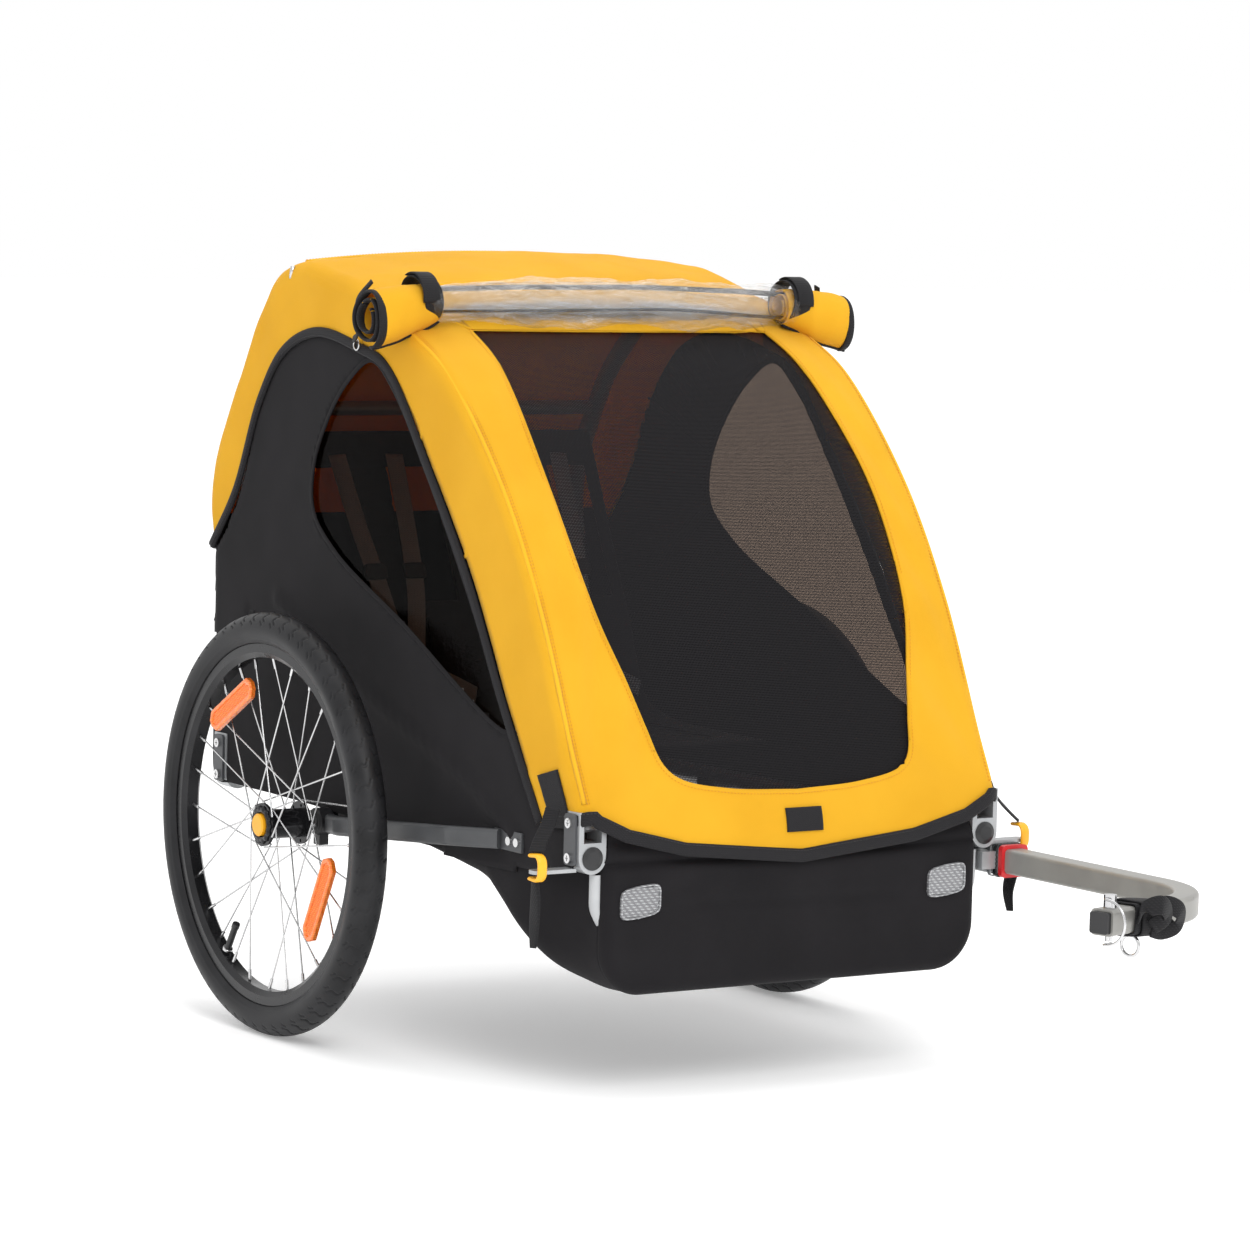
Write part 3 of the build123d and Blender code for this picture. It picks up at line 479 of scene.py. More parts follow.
# Painted shade: in the fabrics and webbings, the second colour of each pair is painted into the valleys
# between threads and ribs, and also into darker random blotches.
GOLD, GOLD_SHADE = rgba(0.87, 0.487, 0.026), rgba(0.73, 0.38, 0.014)
COAL, COAL_SHADE = rgba(0.0145, 0.0130, 0.0150), rgba(0.0065, 0.0060, 0.0070)
YELLOW = fabric("yellow_fabric", GOLD, GOLD_SHADE, 0.0012, glow=rgba(1.0, 0.36, 0.02), sheen=0.05)
YELLOW_FREE = fabric("yellow_fabric_free", GOLD, GOLD_SHADE, 0.0012, uv=False, sheen=0.05)
BLACK_CLOTH = fabric("black_fabric", COAL, COAL_SHADE, 0.0012, sheen=0.03)
BLACK_CLOTH_FREE = fabric("black_fabric_free", COAL, COAL_SHADE, 0.0012, uv=False, sheen=0.03)
BINDING = ribbed("black_binding", rgba(0.022, 0.020, 0.023), rgba(0.008, 0.008, 0.009))
BLACK_WEB = ribbed("black_webbing", rgba(0.020, 0.019, 0.021), rgba(0.007, 0.007, 0.008), 0.002)
GREY_WEB = ribbed("grey_webbing", rgba(0.46, 0.46, 0.47), rgba(0.30, 0.30, 0.31), 0.002)
SEAT_CLOTH = fabric("seat_fabric", rgba(0.030, 0.029, 0.033), rgba(0.015, 0.015, 0.018), 0.0016, bump=0.5)
THREAD_YELLOW = fabric("yellow_thread", rgba(0.80, 0.33, 0.01), rgba(0.62, 0.24, 0.006), 0.0008, uv=False)
THREAD_BLACK = fabric("black_thread", rgba(0.05, 0.047, 0.052), rgba(0.02, 0.02, 0.022), 0.0008, uv=False)
MESH = net("black_mesh", rgba(0.009, 0.0085, 0.0095), 0.0019, 0.60)
SMOKE = film("smoked_film", rgba(0.26, 0.19, 0.145), 0.05, 0.0004, shine=0.001, glance=0.12)
VINYL = film("clear_vinyl", rgba(0.955, 0.955, 0.955), 0.05, 0.012, 1.6, 0.035, 0.5)
TYRE = moulded("tyre_rubber", rgba(0.020, 0.020, 0.022), rgba(0.008, 0.008, 0.009), 0.46, 0.25, 900.0, 0.25)
RIM = metal("black_rim", rgba(0.020, 0.020, 0.022), rgba(0.012, 0.012, 0.013), 0.26, 0.45)
STEEL = metal("bright_steel", rgba(0.72, 0.72, 0.72), rgba(0.50, 0.50, 0.51), 0.22, 1.0)
HUB = metal("black_hub", rgba(0.022, 0.022, 0.024), rgba(0.012, 0.012, 0.014), 0.2, 0.5)
CAST = metal("casting_grey", rgba(0.46, 0.47, 0.48), rgba(0.34, 0.35, 0.36), 0.36, 0.55, 0.2)
TUBE = metal("frame_tube", rgba(0.40, 0.40, 0.41), rgba(0.30, 0.30, 0.31), 0.38, 0.7, 0.2)
ARM = metal("arm_grey", rgba(0.33, 0.325, 0.305), rgba(0.26, 0.255, 0.24), 0.42, 0.35, 0.15)
PLATE = moulded("dark_plate", rgba(0.075, 0.078, 0.084), rgba(0.05, 0.052, 0.057), 0.42)
GUARD = moulded("guard_grey", rgba(0.060, 0.062, 0.066), rgba(0.038, 0.040, 0.043), 0.40, 0.2)
BLACK = moulded("black_plastic", rgba(0.018, 0.018, 0.020), rgba(0.010, 0.010, 0.011), 0.36)
YELLOW_HARD = moulded("yellow_plastic", rgba(0.95, 0.46, 0.012), rgba(0.85, 0.36, 0.008), 0.34)
RED = moulded("red_plastic", rgba(0.62, 0.015, 0.02), rgba(0.45, 0.01, 0.014), 0.35)
PALE = moulded("pale_plastic", rgba(0.50, 0.51, 0.52), rgba(0.40, 0.41, 0.42), 0.4)
ORANGE = prism_plastic("orange_reflector", rgba(1.0, 0.30, 0.03), rgba(0.85, 0.16, 0.01), 0.0030)
CLEAR = prism_plastic("clear_reflector", rgba(0.50, 0.51, 0.52), rgba(0.20, 0.20, 0.21), 0.0040)


def paint(obj, material):
    obj.data.materials.clear()
    obj.data.materials.append(material)
    return obj


def dress(obj, material, body="base"):
    """Paints a piece and lets it ride on a body."""
    return soft(paint(obj, material), body)


def cloth(obj, material, stands_in=None, body="base", thick=CLOTH, offset=-1.0):
    """Paints and thickens a sheet of fabric, lets it ride on a body, and lets it stand in for a CAD node."""
    dress(thicken(obj, thick, offset), material, body)
    if stands_in:
        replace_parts(obj, stands_in)


def both_sides(middle, right):
    """Rows across the trailer: the right ones mirrored, then the middle ones, then the right ones."""
    return np.array([list(p * [-1, 1, 1]) for p in np.array(right[::-1])] + list(middle) + list(right), float)


def on_cover(obj, material):
    """Paints a piece of the front cover and lets it ride on the cover's body."""
    return dress(obj, material, "front_cover")


# --- the covered body -----------------------------------------------------------------
CURVE_POINTS = 1200
NOSE_PART, REAR_PART = 300, 700  # the nose lies before the first of these points, the back after the second
CURVE = smooth(OUTLINE, CURVE_POINTS)
SIDE_CURVE = smooth(BORDER, CURVE_POINTS)
SEAM_AT = int(np.argmin(np.abs(CURVE[:REAR_PART, 0] - HINGE_Y)))
SPLIT_AT = REAR_PART + int(np.argmin(np.abs(CURVE[REAR_PART:, 1] - REAR_SPLIT_Z)))
NOSE_AT = int(np.argmin(np.abs(CURVE[:NOSE_PART, 1] - 0.316)))
BORDER_SEAM = int(np.argmin(np.abs(SIDE_CURVE[:, 0] - HINGE_Y)))
TANGENT = unit(np.gradient(CURVE, axis=0))
INWARD = np.stack([TANGENT[:, 1], -TANGENT[:, 0]], 1)


def at(table, index):
    """A row between two rows of a table, by a fractional index."""
    k = min(int(index), len(table) - 2)
    k = max(k, 0)
    return table[k] + (table[k + 1] - table[k]) * (index - k)


def border_match(index):
    """The point of the side border that lies opposite a point of the ridge."""
    if index <= SEAM_AT:
        share = (index - NOSE_AT) / (SEAM_AT - NOSE_AT) * BORDER_SEAM
    else:
        share = BORDER_SEAM + (index - SEAM_AT) / (SPLIT_AT - SEAM_AT) * (len(SIDE_CURVE) - 1 - BORDER_SEAM)
    return at(SIDE_CURVE, min(max(share, 0), len(SIDE_CURVE) - 1))


def crown(x, z):
    """How far the sheet stands outside its side-view outline: most on the roof, little on the nose."""
    high = ramp(z - 0.30, 0.50)
    return ARCH * (0.25 + 0.75 * high) * (1 - (x / 0.264) ** 2)


def cover_point(index, kind, value):
    """A point of the cover. value is a share of the way from the border to the corner if kind is side,
    degrees if it is corner, and x if it is top. Its sign is the side of the trailer."""
    y, z = at(CURVE, index)
    n = at(INWARD, index)
    if kind == "side":
        low, high = border_match(index), np.array([y, z]) + n * CORNER
        q = low + (high - low) * abs(value)
        return np.array([math.copysign(HALF, value), q[0], q[1]])
    if kind == "corner":
        a = math.radians(abs(value))
        q = np.array([y, z]) + n * CORNER * (1 - math.sin(a))
        return np.array([math.copysign(HALF - CORNER + CORNER * math.cos(a), value), q[0], q[1]])
    lift = crown(value, z)
    return np.array([value, y - n[0] * lift, z - n[1] * lift])


SIDE_STEPS = np.linspace(0.0001, 0.97, 12)
CORNER_STEPS = np.linspace(4, 86, 6)
TOP_STEPS = np.linspace(-(HALF - CORNER), HALF - CORNER, 89)
COLUMNS = [("side", -v) for v in SIDE_STEPS] + [("corner", -v) for v in CORNER_STEPS]
COLUMNS += [("top", x) for x in TOP_STEPS]
COLUMNS += [("corner", v) for v in CORNER_STEPS[::-1]] + [("side", v) for v in SIDE_STEPS[::-1]]


def puckers(p, seed, size=0.0012):
    """Soft waves of a stretched sheet: long and low, with finer ones near an edge."""
    return size * (1.4 * wave(p, 7.0, seed) + 0.7 * wave(p, 19.0, seed) + 0.2 * wave(p, 55.0, seed))


def cover_rows(first, last, count, seed, size=0.0012):
    """Rows of points over the cover. first(kind, value) gives each column's own starting index."""
    starts = np.array([first(kind, value) for kind, value in COLUMNS])
    rows = []
    for k in range(count):
        row = []
        for (kind, value), begin in zip(COLUMNS, starts):
            index = begin + (last - begin) * k / (count - 1)
            p = cover_point(index, kind, value)
            n = at(INWARD, index)
            wrinkle = puckers(p, seed, size)
            if kind == "side":
                p[0] += math.copysign(abs(wrinkle), value) * 0.7
            else:
                p[1:] -= n * wrinkle
            row.append(p)
        rows.append(row)
    return np.array(rows)


def nose_index(z):
    """Index of the outline's point at a height, on the nose."""
    return float(np.interp(z, CURVE[:SEAM_AT, 1], np.arange(SEAM_AT)))


def roof_index(y):
    """Index of the outline's point at a distance along the trailer, on the roof."""
    return int(np.argmin(np.abs(CURVE[SEAM_AT:800, 0] - y))) + SEAM_AT


def nose_point(x, z):
    """The cover's surface at x and z, seen from the front."""
    index = nose_index(z)
    for _ in range(4):
        p = cover_point(index, "top", x)
        index = nose_index(at(CURVE, index)[1] + z - p[2])
    return cover_point(index, "top", x)


def lower_edge(x):
    """Height of the front cover's curved lower edge."""
    return float(np.interp(abs(x), [0.0, 0.154, 0.228, 0.268, HALF], [0.259, 0.274, 0.292, 0.311, 0.315]))


def spread(loop):
    """Mean distance of an outline's points from the middle of the mesh window."""
    return np.mean(np.linalg.norm(loop - [0.0, 0.58], axis=1))


def mesh_outline(grow=0.0):
    """The mesh window's outline as seen from the front, closed, as (X, Z)."""
    right = smooth(MESH_EDGE, 90)
    loop = np.vstack([right, right[-2::-1] * [-1, 1]])
    if grow:
        step = unit(np.roll(loop, -1, axis=0) - np.roll(loop, 1, axis=0))
        loop = loop + np.stack([step[:, 1], -step[:, 0]], 1) * -grow
        if spread(loop) < spread(mesh_outline()):
            loop = mesh_outline(-grow)
    return loop


def stitches(name, points, normals, material, gap=0.0042, length=0.0026, radius=0.00045):
    """A row of stitches: short rounded threads that lie on the cloth."""
    count = max(int(np.sum(np.linalg.norm(np.diff(points, axis=0), axis=1)) / gap), 2)
    path, up = even(points, count), even(normals, count)
    verts, faces = [], []
    t = np.gradient(path, axis=0)
    for p, d, n in zip(path, t, up):
        d, n = d / np.linalg.norm(d), n / np.linalg.norm(n)
        s = np.cross(d, n)
        base = len(verts)
        for share, size in ((-0.5, 0.3), (-0.25, 1.0), (0.25, 1.0), (0.5, 0.3)):
            for a, b in ((-1, 0), (0, 1), (1, 0), (0, -0.6)):
                verts.append(p + d * length * share + (s * a + n * b) * radius * size)
        faces += [tuple(base + f for f in face) for face in grid_faces(4, 4, False, True)]
        faces += [(base, base + 1, base + 2, base + 3), (base + 15, base + 14, base + 13, base + 12)]
    return paint(mesh_object(name, verts, faces), material)


def outward(index):
    """Unit vector out of the cover at a point of the outline."""
    n = at(INWARD, index)
    return np.array([0.0, -n[0], -n[1]])


def front_cover():
    """Yellow nose cover with the opening for the mesh window."""
    def begin(kind, value):
        if kind == "top":
            return nose_index(lower_edge(value))
        return nose_index(NOSE_FOOT_Z)

    rows = cover_rows(begin, SEAM_AT, 170, 3.0)
    points = rows.reshape(-1, 3)
    _, gap = closest_on(mesh_outline(), points[:, [0, 2]])
    height, sideways = points[:, 2], np.abs(points[:, 0])
    inner_part = ramp(gap, 0.022) * ramp(height - 0.33, 0.05) * ramp(0.85 - height, 0.03)
    inner_part *= ramp(HALF - CORNER - 0.004 - sideways, 0.02)
    slant = height * 46 + sideways * 70 + np.array([2.2 * wave(q, 5.0, 9.0) for q in points])
    points[:, 1] -= FOLD_DEPTH * inner_part * np.sin(slant)
    obj = sheet("front_cover_cloth", rows)
    cut(obj, mesh_outline(), [0, 2], False, lambda old, q: Vector(nose_point(*q)))
    cloth(obj, YELLOW, "front_cover", "front_cover")


def front_cover_trim():
    """Mesh window, binding, seams, stitches and the grip patches at the lower corners."""
    rows = []
    for index in np.linspace(nose_index(0.325), nose_index(0.832), 120):
        n = at(INWARD, index)
        rows.append([cover_point(index, "top", x) + [0, n[0] * 0.004, n[1] * 0.004]
                     for x in np.linspace(-0.226, 0.226, 70)])
    net_sheet = sheet("front_mesh_net", rows)
    cut(net_sheet, mesh_outline(0.006), [0, 2], True, lambda old, q: Vector((q[0], old.y, q[1])))
    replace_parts(paint(net_sheet, MESH), "front_mesh")
    soft(net_sheet, "front_cover")

    xs = np.linspace(-TOP_HALF, TOP_HALF, 120)
    edge = [cover_point(nose_index(lower_edge(x)), "top", x) for x in xs]
    corner = [cover_point(nose_index(NOSE_FOOT_Z), "corner", a) for a in CORNER_CUT]
    side = [cover_point(nose_index(NOSE_FOOT_Z), "side", v) for v in np.linspace(0.97, 0.12, 16)]
    path = both_sides(edge, corner + side)
    turn = [[math.cos(math.radians(a)), -math.sin(math.radians(a)), 0] for a in CORNER_CUT]
    normals = both_sides([[0, -1, 0]] * len(edge), turn + [[1, 0, 0]] * len(side))
    tape = sweep("front_cover_binding", path + normals * 0.0005 + [0, 0, 0.002], flat(0.015, 0.0052), normals)
    on_cover(tape, BINDING)
    row = path + normals * 0.0032 + [0, 0, 0.0075]
    soft(stitches("front_binding_stitches", row, normals, THREAD_BLACK), "front_cover")

    hem = mesh_outline(0.005)
    hem = hem[:-1] if np.allclose(hem[0], hem[-1]) else hem
    hem_path = np.array([nose_point(*q) for q in hem])
    ups = np.array([outward(nose_index(q[1])) for q in hem])
    row = stitches("mesh_hem_stitches", hem_path + ups * 0.0004, ups, THREAD_YELLOW, radius=0.0004)
    soft(row, "front_cover")

    indices = np.linspace(nose_index(0.33), SEAM_AT - 8, 120)
    for sign, label in SIDES:
        ridge = np.array([cover_point(i, "corner", sign * 52) for i in indices])
        up = np.array([outward(i) * 0.8 + [sign * 0.6, 0, 0] for i in indices])
        seam = sweep(f"{label}_nose_seam", ridge, [(-0.0034, -0.0012), (0, 0.0016), (0.0034, -0.0012)], up)
        on_cover(seam, YELLOW_FREE)
        for k, shift in enumerate((12, 20)):
            line = np.array([cover_point(i, "corner", sign * (52 + shift)) for i in indices])
            row = stitches(f"{label}_nose_stitches_{k}", line + up * 0.0003, up, THREAD_YELLOW, radius=0.0004)
            soft(row, "front_cover")
        low, high = nose_index(0.315), nose_index(0.372)
        patch = sheet(f"{label}_grip_patch", [
            [cover_point(i, "side", sign * v) + [sign * (0.0012 + 0.0004 * wave((i, v, 0), 3.0)), 0, 0]
             for v in np.linspace(0.34, 0.86, 14)] for i in np.linspace(low, high, 18)])
        cloth(patch, BINDING, None, "front_cover", 0.002, -float(sign))

    label = sheet("front_blank_label", [
        [nose_point(0.003 + x, 0.301 + z) + [0, -0.0016, 0] for x in np.linspace(-0.024, 0.024, 16)]
        for z in np.linspace(-0.013, 0.013, 10)])
    cloth(label, BINDING, None, "front_cover", 0.0014, 0.0)


def roof_and_back():
    """Yellow roof, the upper back and its two side gussets, and the black lower back."""
    obj = sheet("roof_cloth", cover_rows(lambda kind, value: SEAM_AT - 4, SPLIT_AT, 190, 11.0, 0.0024))
    cloth(obj, YELLOW, "roof_cover")

    back = []
    for index in np.linspace(SPLIT_AT - 26, CURVE_POINTS - 1, 60):
        n = at(INWARD, index)
        shift = np.array([0, n[0], n[1]]) * 0.0028
        cols = [("corner", -v) for v in (8, 30, 55, 80)]
        cols += [("top", x) for x in np.linspace(-TOP_HALF, TOP_HALF, 60)]
        cols += [("corner", v) for v in (80, 55, 30, 8)]
        row = []
        for kind, value in cols:
            p = cover_point(index, kind, value) + shift
            if kind == "top":
                p[1] -= 0.9 * crown(value, at(CURVE, index)[1]) - 0.001 * wave(p, 9.0, 5.0)
            row.append(p)
        back.append(row)
    cloth(sheet("lower_back_cloth", back), BLACK_CLOTH, "rear_panel")

    xs = np.linspace(-TOP_HALF, TOP_HALF, 100)
    edge = [cover_point(SPLIT_AT, "top", x) for x in xs]
    angles = (75, 50, 25, 5)
    bends = [cover_point(SPLIT_AT, "corner", a) for a in angles]
    path = both_sides(edge, bends)
    turn = [[math.cos(math.radians(a)), math.sin(math.radians(a)), 0] for a in angles]
    normals = both_sides([[0, 1, 0]] * len(edge), turn)
    tape = sweep("back_binding", path + normals * 0.0006, flat(0.012, 0.005), normals)
    dress(tape, BINDING)

    low_ridge = [(-0.005, -0.0008), (-0.003, 0.0013), (0.003, 0.0013), (0.005, -0.0008)]
    hoop_at = roof_index(0.104)
    for name, index in (("roof_seam", hoop_at), ("hinge_seam", SEAM_AT)):
        top = np.array([cover_point(index, "top", x) for x in xs])
        up = np.array([outward(index)] * len(xs))
        dress(sweep(name, top, low_ridge, up), YELLOW_FREE)
        soft(stitches(name + "_stitches", top + up * 0.0016, up, THREAD_YELLOW, radius=0.0004))


def side_binding():
    """Black tape along the arch between cover and side panel, the ring for the roll's strap, and a snap."""
    path2 = smooth(BORDER, 190)
    for sign, label in SIDES:
        path = np.array([[sign * (HALF + 0.0016), y, z] for y, z in path2])
        tape = sweep(f"{label}_border_binding", path, flat(0.0115, 0.0056), (sign, 0, 0))
        dress(tape, BINDING)
        inner = even(path2, 150)
        step = unit(np.gradient(inner, axis=0))
        low = inner + np.stack([step[:, 1], -step[:, 0]], 1) * 0.0035
        line = np.array([[sign * (HALF + 0.0046), y, z] for y, z in low])
        soft(stitches(f"{label}_border_stitches", line, np.array([[sign, 0, 0]] * len(line), float),
                      THREAD_BLACK))
        ring_at = at(SIDE_CURVE, BORDER_SEAM)
        loop = [(sign * (HALF + 0.006), ring_at[0] + 0.006 * math.cos(a),
                 ring_at[1] + 0.004 + 0.006 * math.sin(a))
                for a in round_angles(24)]
        ring = sweep(f"{label}_roll_ring", loop, circle(0.0011, 8), (sign, 0, 0), closed=True)
        dress(ring, STEEL)
        tip = cover_point(roof_index(0.112), "corner", sign * 25)
        snap = sweep(f"{label}_roof_snap",
                     [tip + [0, 0.004, -0.010], tip + [0, 0.002, -0.003], tip + [0, 0, 0.004]],
                     circle(0.0028, 12), (sign, 0, 0))
        dress(snap, STEEL)


UNDER_TAPE = 0.008  # how far the side cloth runs on behind the border tape


def side_outline():
    """Outline of the side cloth as (Y, Z). It comes back to the border at both ends of the arch."""
    top = smooth(BORDER, 160)
    step = unit(np.gradient(top, axis=0))
    from_nose, from_back = np.arange(160), np.arange(160)[::-1]
    near_end = ramp(np.minimum(from_nose, from_back - 10), 14)[:, None]
    top = top + np.stack([-step[:, 1], step[:, 0]], 1) * UNDER_TAPE * near_end
    floor = smooth(PANEL_FLOOR, 90)
    return np.vstack([top, floor])


def crease_push(q):
    """Outward push of the sewn crease and the soft folds beside it, at points (Y, Z)."""
    line = smooth(CREASE, 60)
    gap = np.min(np.linalg.norm(q[:, None] - line[None], axis=2), axis=1)
    above = q[:, 1] - np.interp(q[:, 0], line[::-1, 0], line[::-1, 1])
    ridge = 0.0042 * np.exp(-(gap / 0.010) ** 2)
    hollow = 0.0028 * np.exp(-((above + 0.035) / 0.022) ** 2) * (gap < 0.08)
    return ridge - hollow


def side_walls():
    """Black side panels with the window opening, and the smoked window film."""
    ys, zs = np.arange(-0.560, 0.312, 0.0065), np.arange(0.226, 0.826, 0.0065)
    border = smooth(BORDER, 200)
    window = smooth(WINDOW, 160, closed=True)[:-1]
    grown = smooth([(y + (y + 0.13) * 0.02, z + (z - 0.60) * 0.02) for y, z in WINDOW], 160, closed=True)[:-1]
    for sign, label in SIDES:
        q = np.array([[y, z] for z in zs for y in ys])
        ripple = [0.0018 * wave((0, y, z), 6.0, 7.0 + sign) + 0.0006 * wave((0, y, z), 24.0, sign)
                  for y, z in q]
        push = np.clip(crease_push(q) + np.array(ripple), -0.006, 0.005)
        to_border = np.min(np.linalg.norm(q[:, None] - border[None], axis=2), axis=1)
        hem = np.clip(1 - to_border / 0.012, 0, 1)
        x = HALF - 0.0008 + push * (1 - hem) - 0.0022 * hem
        rows = np.stack([sign * x, q[:, 0], q[:, 1]], 1).reshape(len(zs), len(ys), 3)
        wall = sheet(f"{label}_side_cloth", rows)
        cut(wall, side_outline(), [1, 2], True, lambda old, p: Vector((old.x, p[0], p[1])))
        cut(wall, window, [1, 2], False, lambda old, p: Vector((sign * (HALF - 0.001), p[0], p[1])))
        cloth(wall, BLACK_CLOTH, offset=float(sign))
        pane_rows = [[(sign * (HALF - 0.0032 + 0.0012 * wave((0, y, z), 5.0, 21.0)), y, z)
                      for y in np.arange(-0.400, 0.066, 0.011)] for z in np.arange(0.385, 0.792, 0.011)]
        pane = sheet(f"{label}_window_film", pane_rows)
        cut(pane, grown, [1, 2], True, lambda old, p: Vector((old.x, p[0], p[1])))
        dress(pane, SMOKE)
        rim_path = [(sign * (HALF + 0.0002), y, z) for y, z in window]
        rim = sweep(f"{label}_window_hem", rim_path, flat(0.006, 0.0018), (sign, 0, 0), closed=True)
        dress(rim, BLACK_CLOTH_FREE)
        if sign > 0:
            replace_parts(wall, "side_panels")
            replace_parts(pane, "side_windows")


TUB_EDGE = 0.012
TUB_FRONT_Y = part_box("footwell_tub")[0].y
TUB_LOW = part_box("footwell_tub")[0].z
TUB_TOP_Z = 0.262
TUB_FLOOR = [(-0.548, 0.0), (-0.506, 0.0), (-0.482, 0.005), (-0.444, 0.018), (-0.389, 0.057),
             (-0.325, 0.100), (-0.282, 0.110), (-0.140, 0.134), (-0.124, 0.1378)]
TUCK_FROM = 0.256  # from this height up, the front cloth leans in behind the yellow cover
TUB_FRONT_HALF, TUB_BACK_HALF = 0.249, 0.277
TUB_FRONT_CORNER, TUB_BACK_CORNER = 0.052, 0.036


def tub_section(floor_rise, back):
    """(X, Z) points of the footwell's U, from the left top edge down and across.
    back is 0 at the nose and 1 from 0.15 m behind it."""
    half = TUB_FRONT_HALF + (TUB_BACK_HALF - TUB_FRONT_HALF) * back
    radius = TUB_FRONT_CORNER + (TUB_BACK_CORNER - TUB_FRONT_CORNER) * back
    low = TUB_LOW + floor_rise
    radius = min(radius, (TUB_TOP_Z - low) * 0.7)
    wall = [(half, low + radius + (TUB_TOP_Z - low - radius) * share) for share in np.linspace(1, 0, 14)]
    bend = [(half - radius + radius * math.cos(a), low + radius - radius * math.sin(a))
            for a in np.linspace(0, math.pi / 2, 21)[1:]]
    left = np.array(wall + bend)
    middle = np.array([[x, low] for x in np.linspace(half - radius, radius - half, 32)[1:-1]])
    return np.vstack([left, middle, left[::-1] * [-1, 1]])


def footwell():
    """Black footwell: a sagging trough with a sewn front panel."""
    floor = smooth(TUB_FLOOR, 400)
    rows = []
    for y in np.linspace(TUB_FRONT_Y + TUB_EDGE, -0.124, 76):
        rise = float(np.interp(y, floor[:, 0], floor[:, 1]))
        back = ramp(y - TUB_FRONT_Y - TUB_EDGE, 0.15)
        row = [[x, y, z] for x, z in tub_section(rise, back * back * (3 - 2 * back))]
        for p in row:
            w = 0.0022 * wave(p, 8.0, 31.0) + 0.0008 * wave(p, 26.0, 32.0)
            p[0] += math.copysign(w, p[0]) if abs(p[0]) > 0.2 else 0.0
            p[2] += abs(w) if abs(p[0]) <= 0.2 else 0.0
        rows.append(row)
    trough = sheet("footwell_cloth", rows)
    thicken(paint(trough, BLACK_CLOTH), 0.0022)
    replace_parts(trough, "footwell_tub")
    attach(trough, "base")

    section = tub_section(0.0, 0.0)
    half = len(section) // 2
    heights = np.concatenate([section[:34, 1][::-1], [0.270, 0.280, 0.290, 0.300, 0.308]])
    widths = np.concatenate([section[:34, 0][::-1], [0.246, 0.244, 0.243, 0.243, 0.243]])
    rows = []
    for z in np.concatenate([np.linspace(TUB_LOW + 0.0004, TUB_LOW + 0.03, 16),
                             np.linspace(TUB_LOW + 0.034, 0.308, 44)]):
        w = float(np.interp(z, heights, widths))
        q = np.array([[w * math.sin(a * math.pi / 2), z] for a in np.linspace(-1, 1, 110)])
        gap = closest_on(section[: half * 2], q)[1]
        row = []
        for (x, height), d in zip(q, gap):
            r = TUB_EDGE
            back = r - math.sqrt(max(r * r - max(r - d, 0.0) ** 2, 0.0))
            fold = 0.0035 * math.exp(-((height - 0.212 + 0.02 * x) / 0.006) ** 2)
            fold *= ramp(0.17 - abs(x), 0.05)
            pull = 0.004 * math.exp(-((abs(x) - 0.19) / 0.05) ** 2)
            pull *= math.sin((height - 0.24) * 150 + abs(x) * 60) * ramp(height - 0.225, 0.03)
            bulge = 0.0025 * wave((x, 0, height), 5.0, 41.0) + 0.0008 * wave((x, 0, height), 22.0, 43.0)
            tucked = 0.010 * ramp(height - TUCK_FROM, 0.030)
            loose = 0.001 + pull * 0.6 + fold * 0.6 - bulge
            row.append([x, TUB_FRONT_Y + back + tucked + ramp(d, 0.03) * loose, height])
        rows.append(row)
    front = sheet("footwell_front_cloth", rows)
    thicken(paint(front, BLACK_CLOTH), CLOTH, 1.0)
    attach(front, "base")
    seam_path = np.array([[x, TUB_FRONT_Y + TUB_EDGE - 0.0015, z] for x, z in section[6:-6]])
    seam = sweep("footwell_seam", seam_path, circle(0.0016, 8), (0, -1, 0))
    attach(paint(seam, BLACK_CLOTH_FREE), "base")


# --- rolled rain shield ---------------------------------------------------------------
ROLL_LOW, ROLL_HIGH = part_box("rain_shield_roll")
ROLL_Y, ROLL_Z = (ROLL_LOW.y + ROLL_HIGH.y) / 2, (ROLL_LOW.z + ROLL_HIGH.z) / 2
ROLL_R = (ROLL_HIGH.z - ROLL_LOW.z) / 2
ROLL_HALF = ROLL_HIGH.x
STRAP_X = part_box("roll_straps")[1].x - 0.012


def crumple(p, seed):
    """Sharp folds, as in creased plastic sheet."""
    sizes = ((14, 1.0), (34, 0.5), (80, 0.22))
    return sum((1 - 3.2 * abs(wave(p, scale, seed))) * size for scale, size in sizes)


def roll_lift(x):
    """The roll sags a little towards its ends."""
    return 0.003 - 0.008 * (x / 0.29) ** 2


def roof_height(x, y):
    """Height of the cover's surface over a point of the ground."""
    z = float(np.interp(y, CURVE[:900, 0], CURVE[:900, 1]))
    return z + crown(x, z) / 0.9


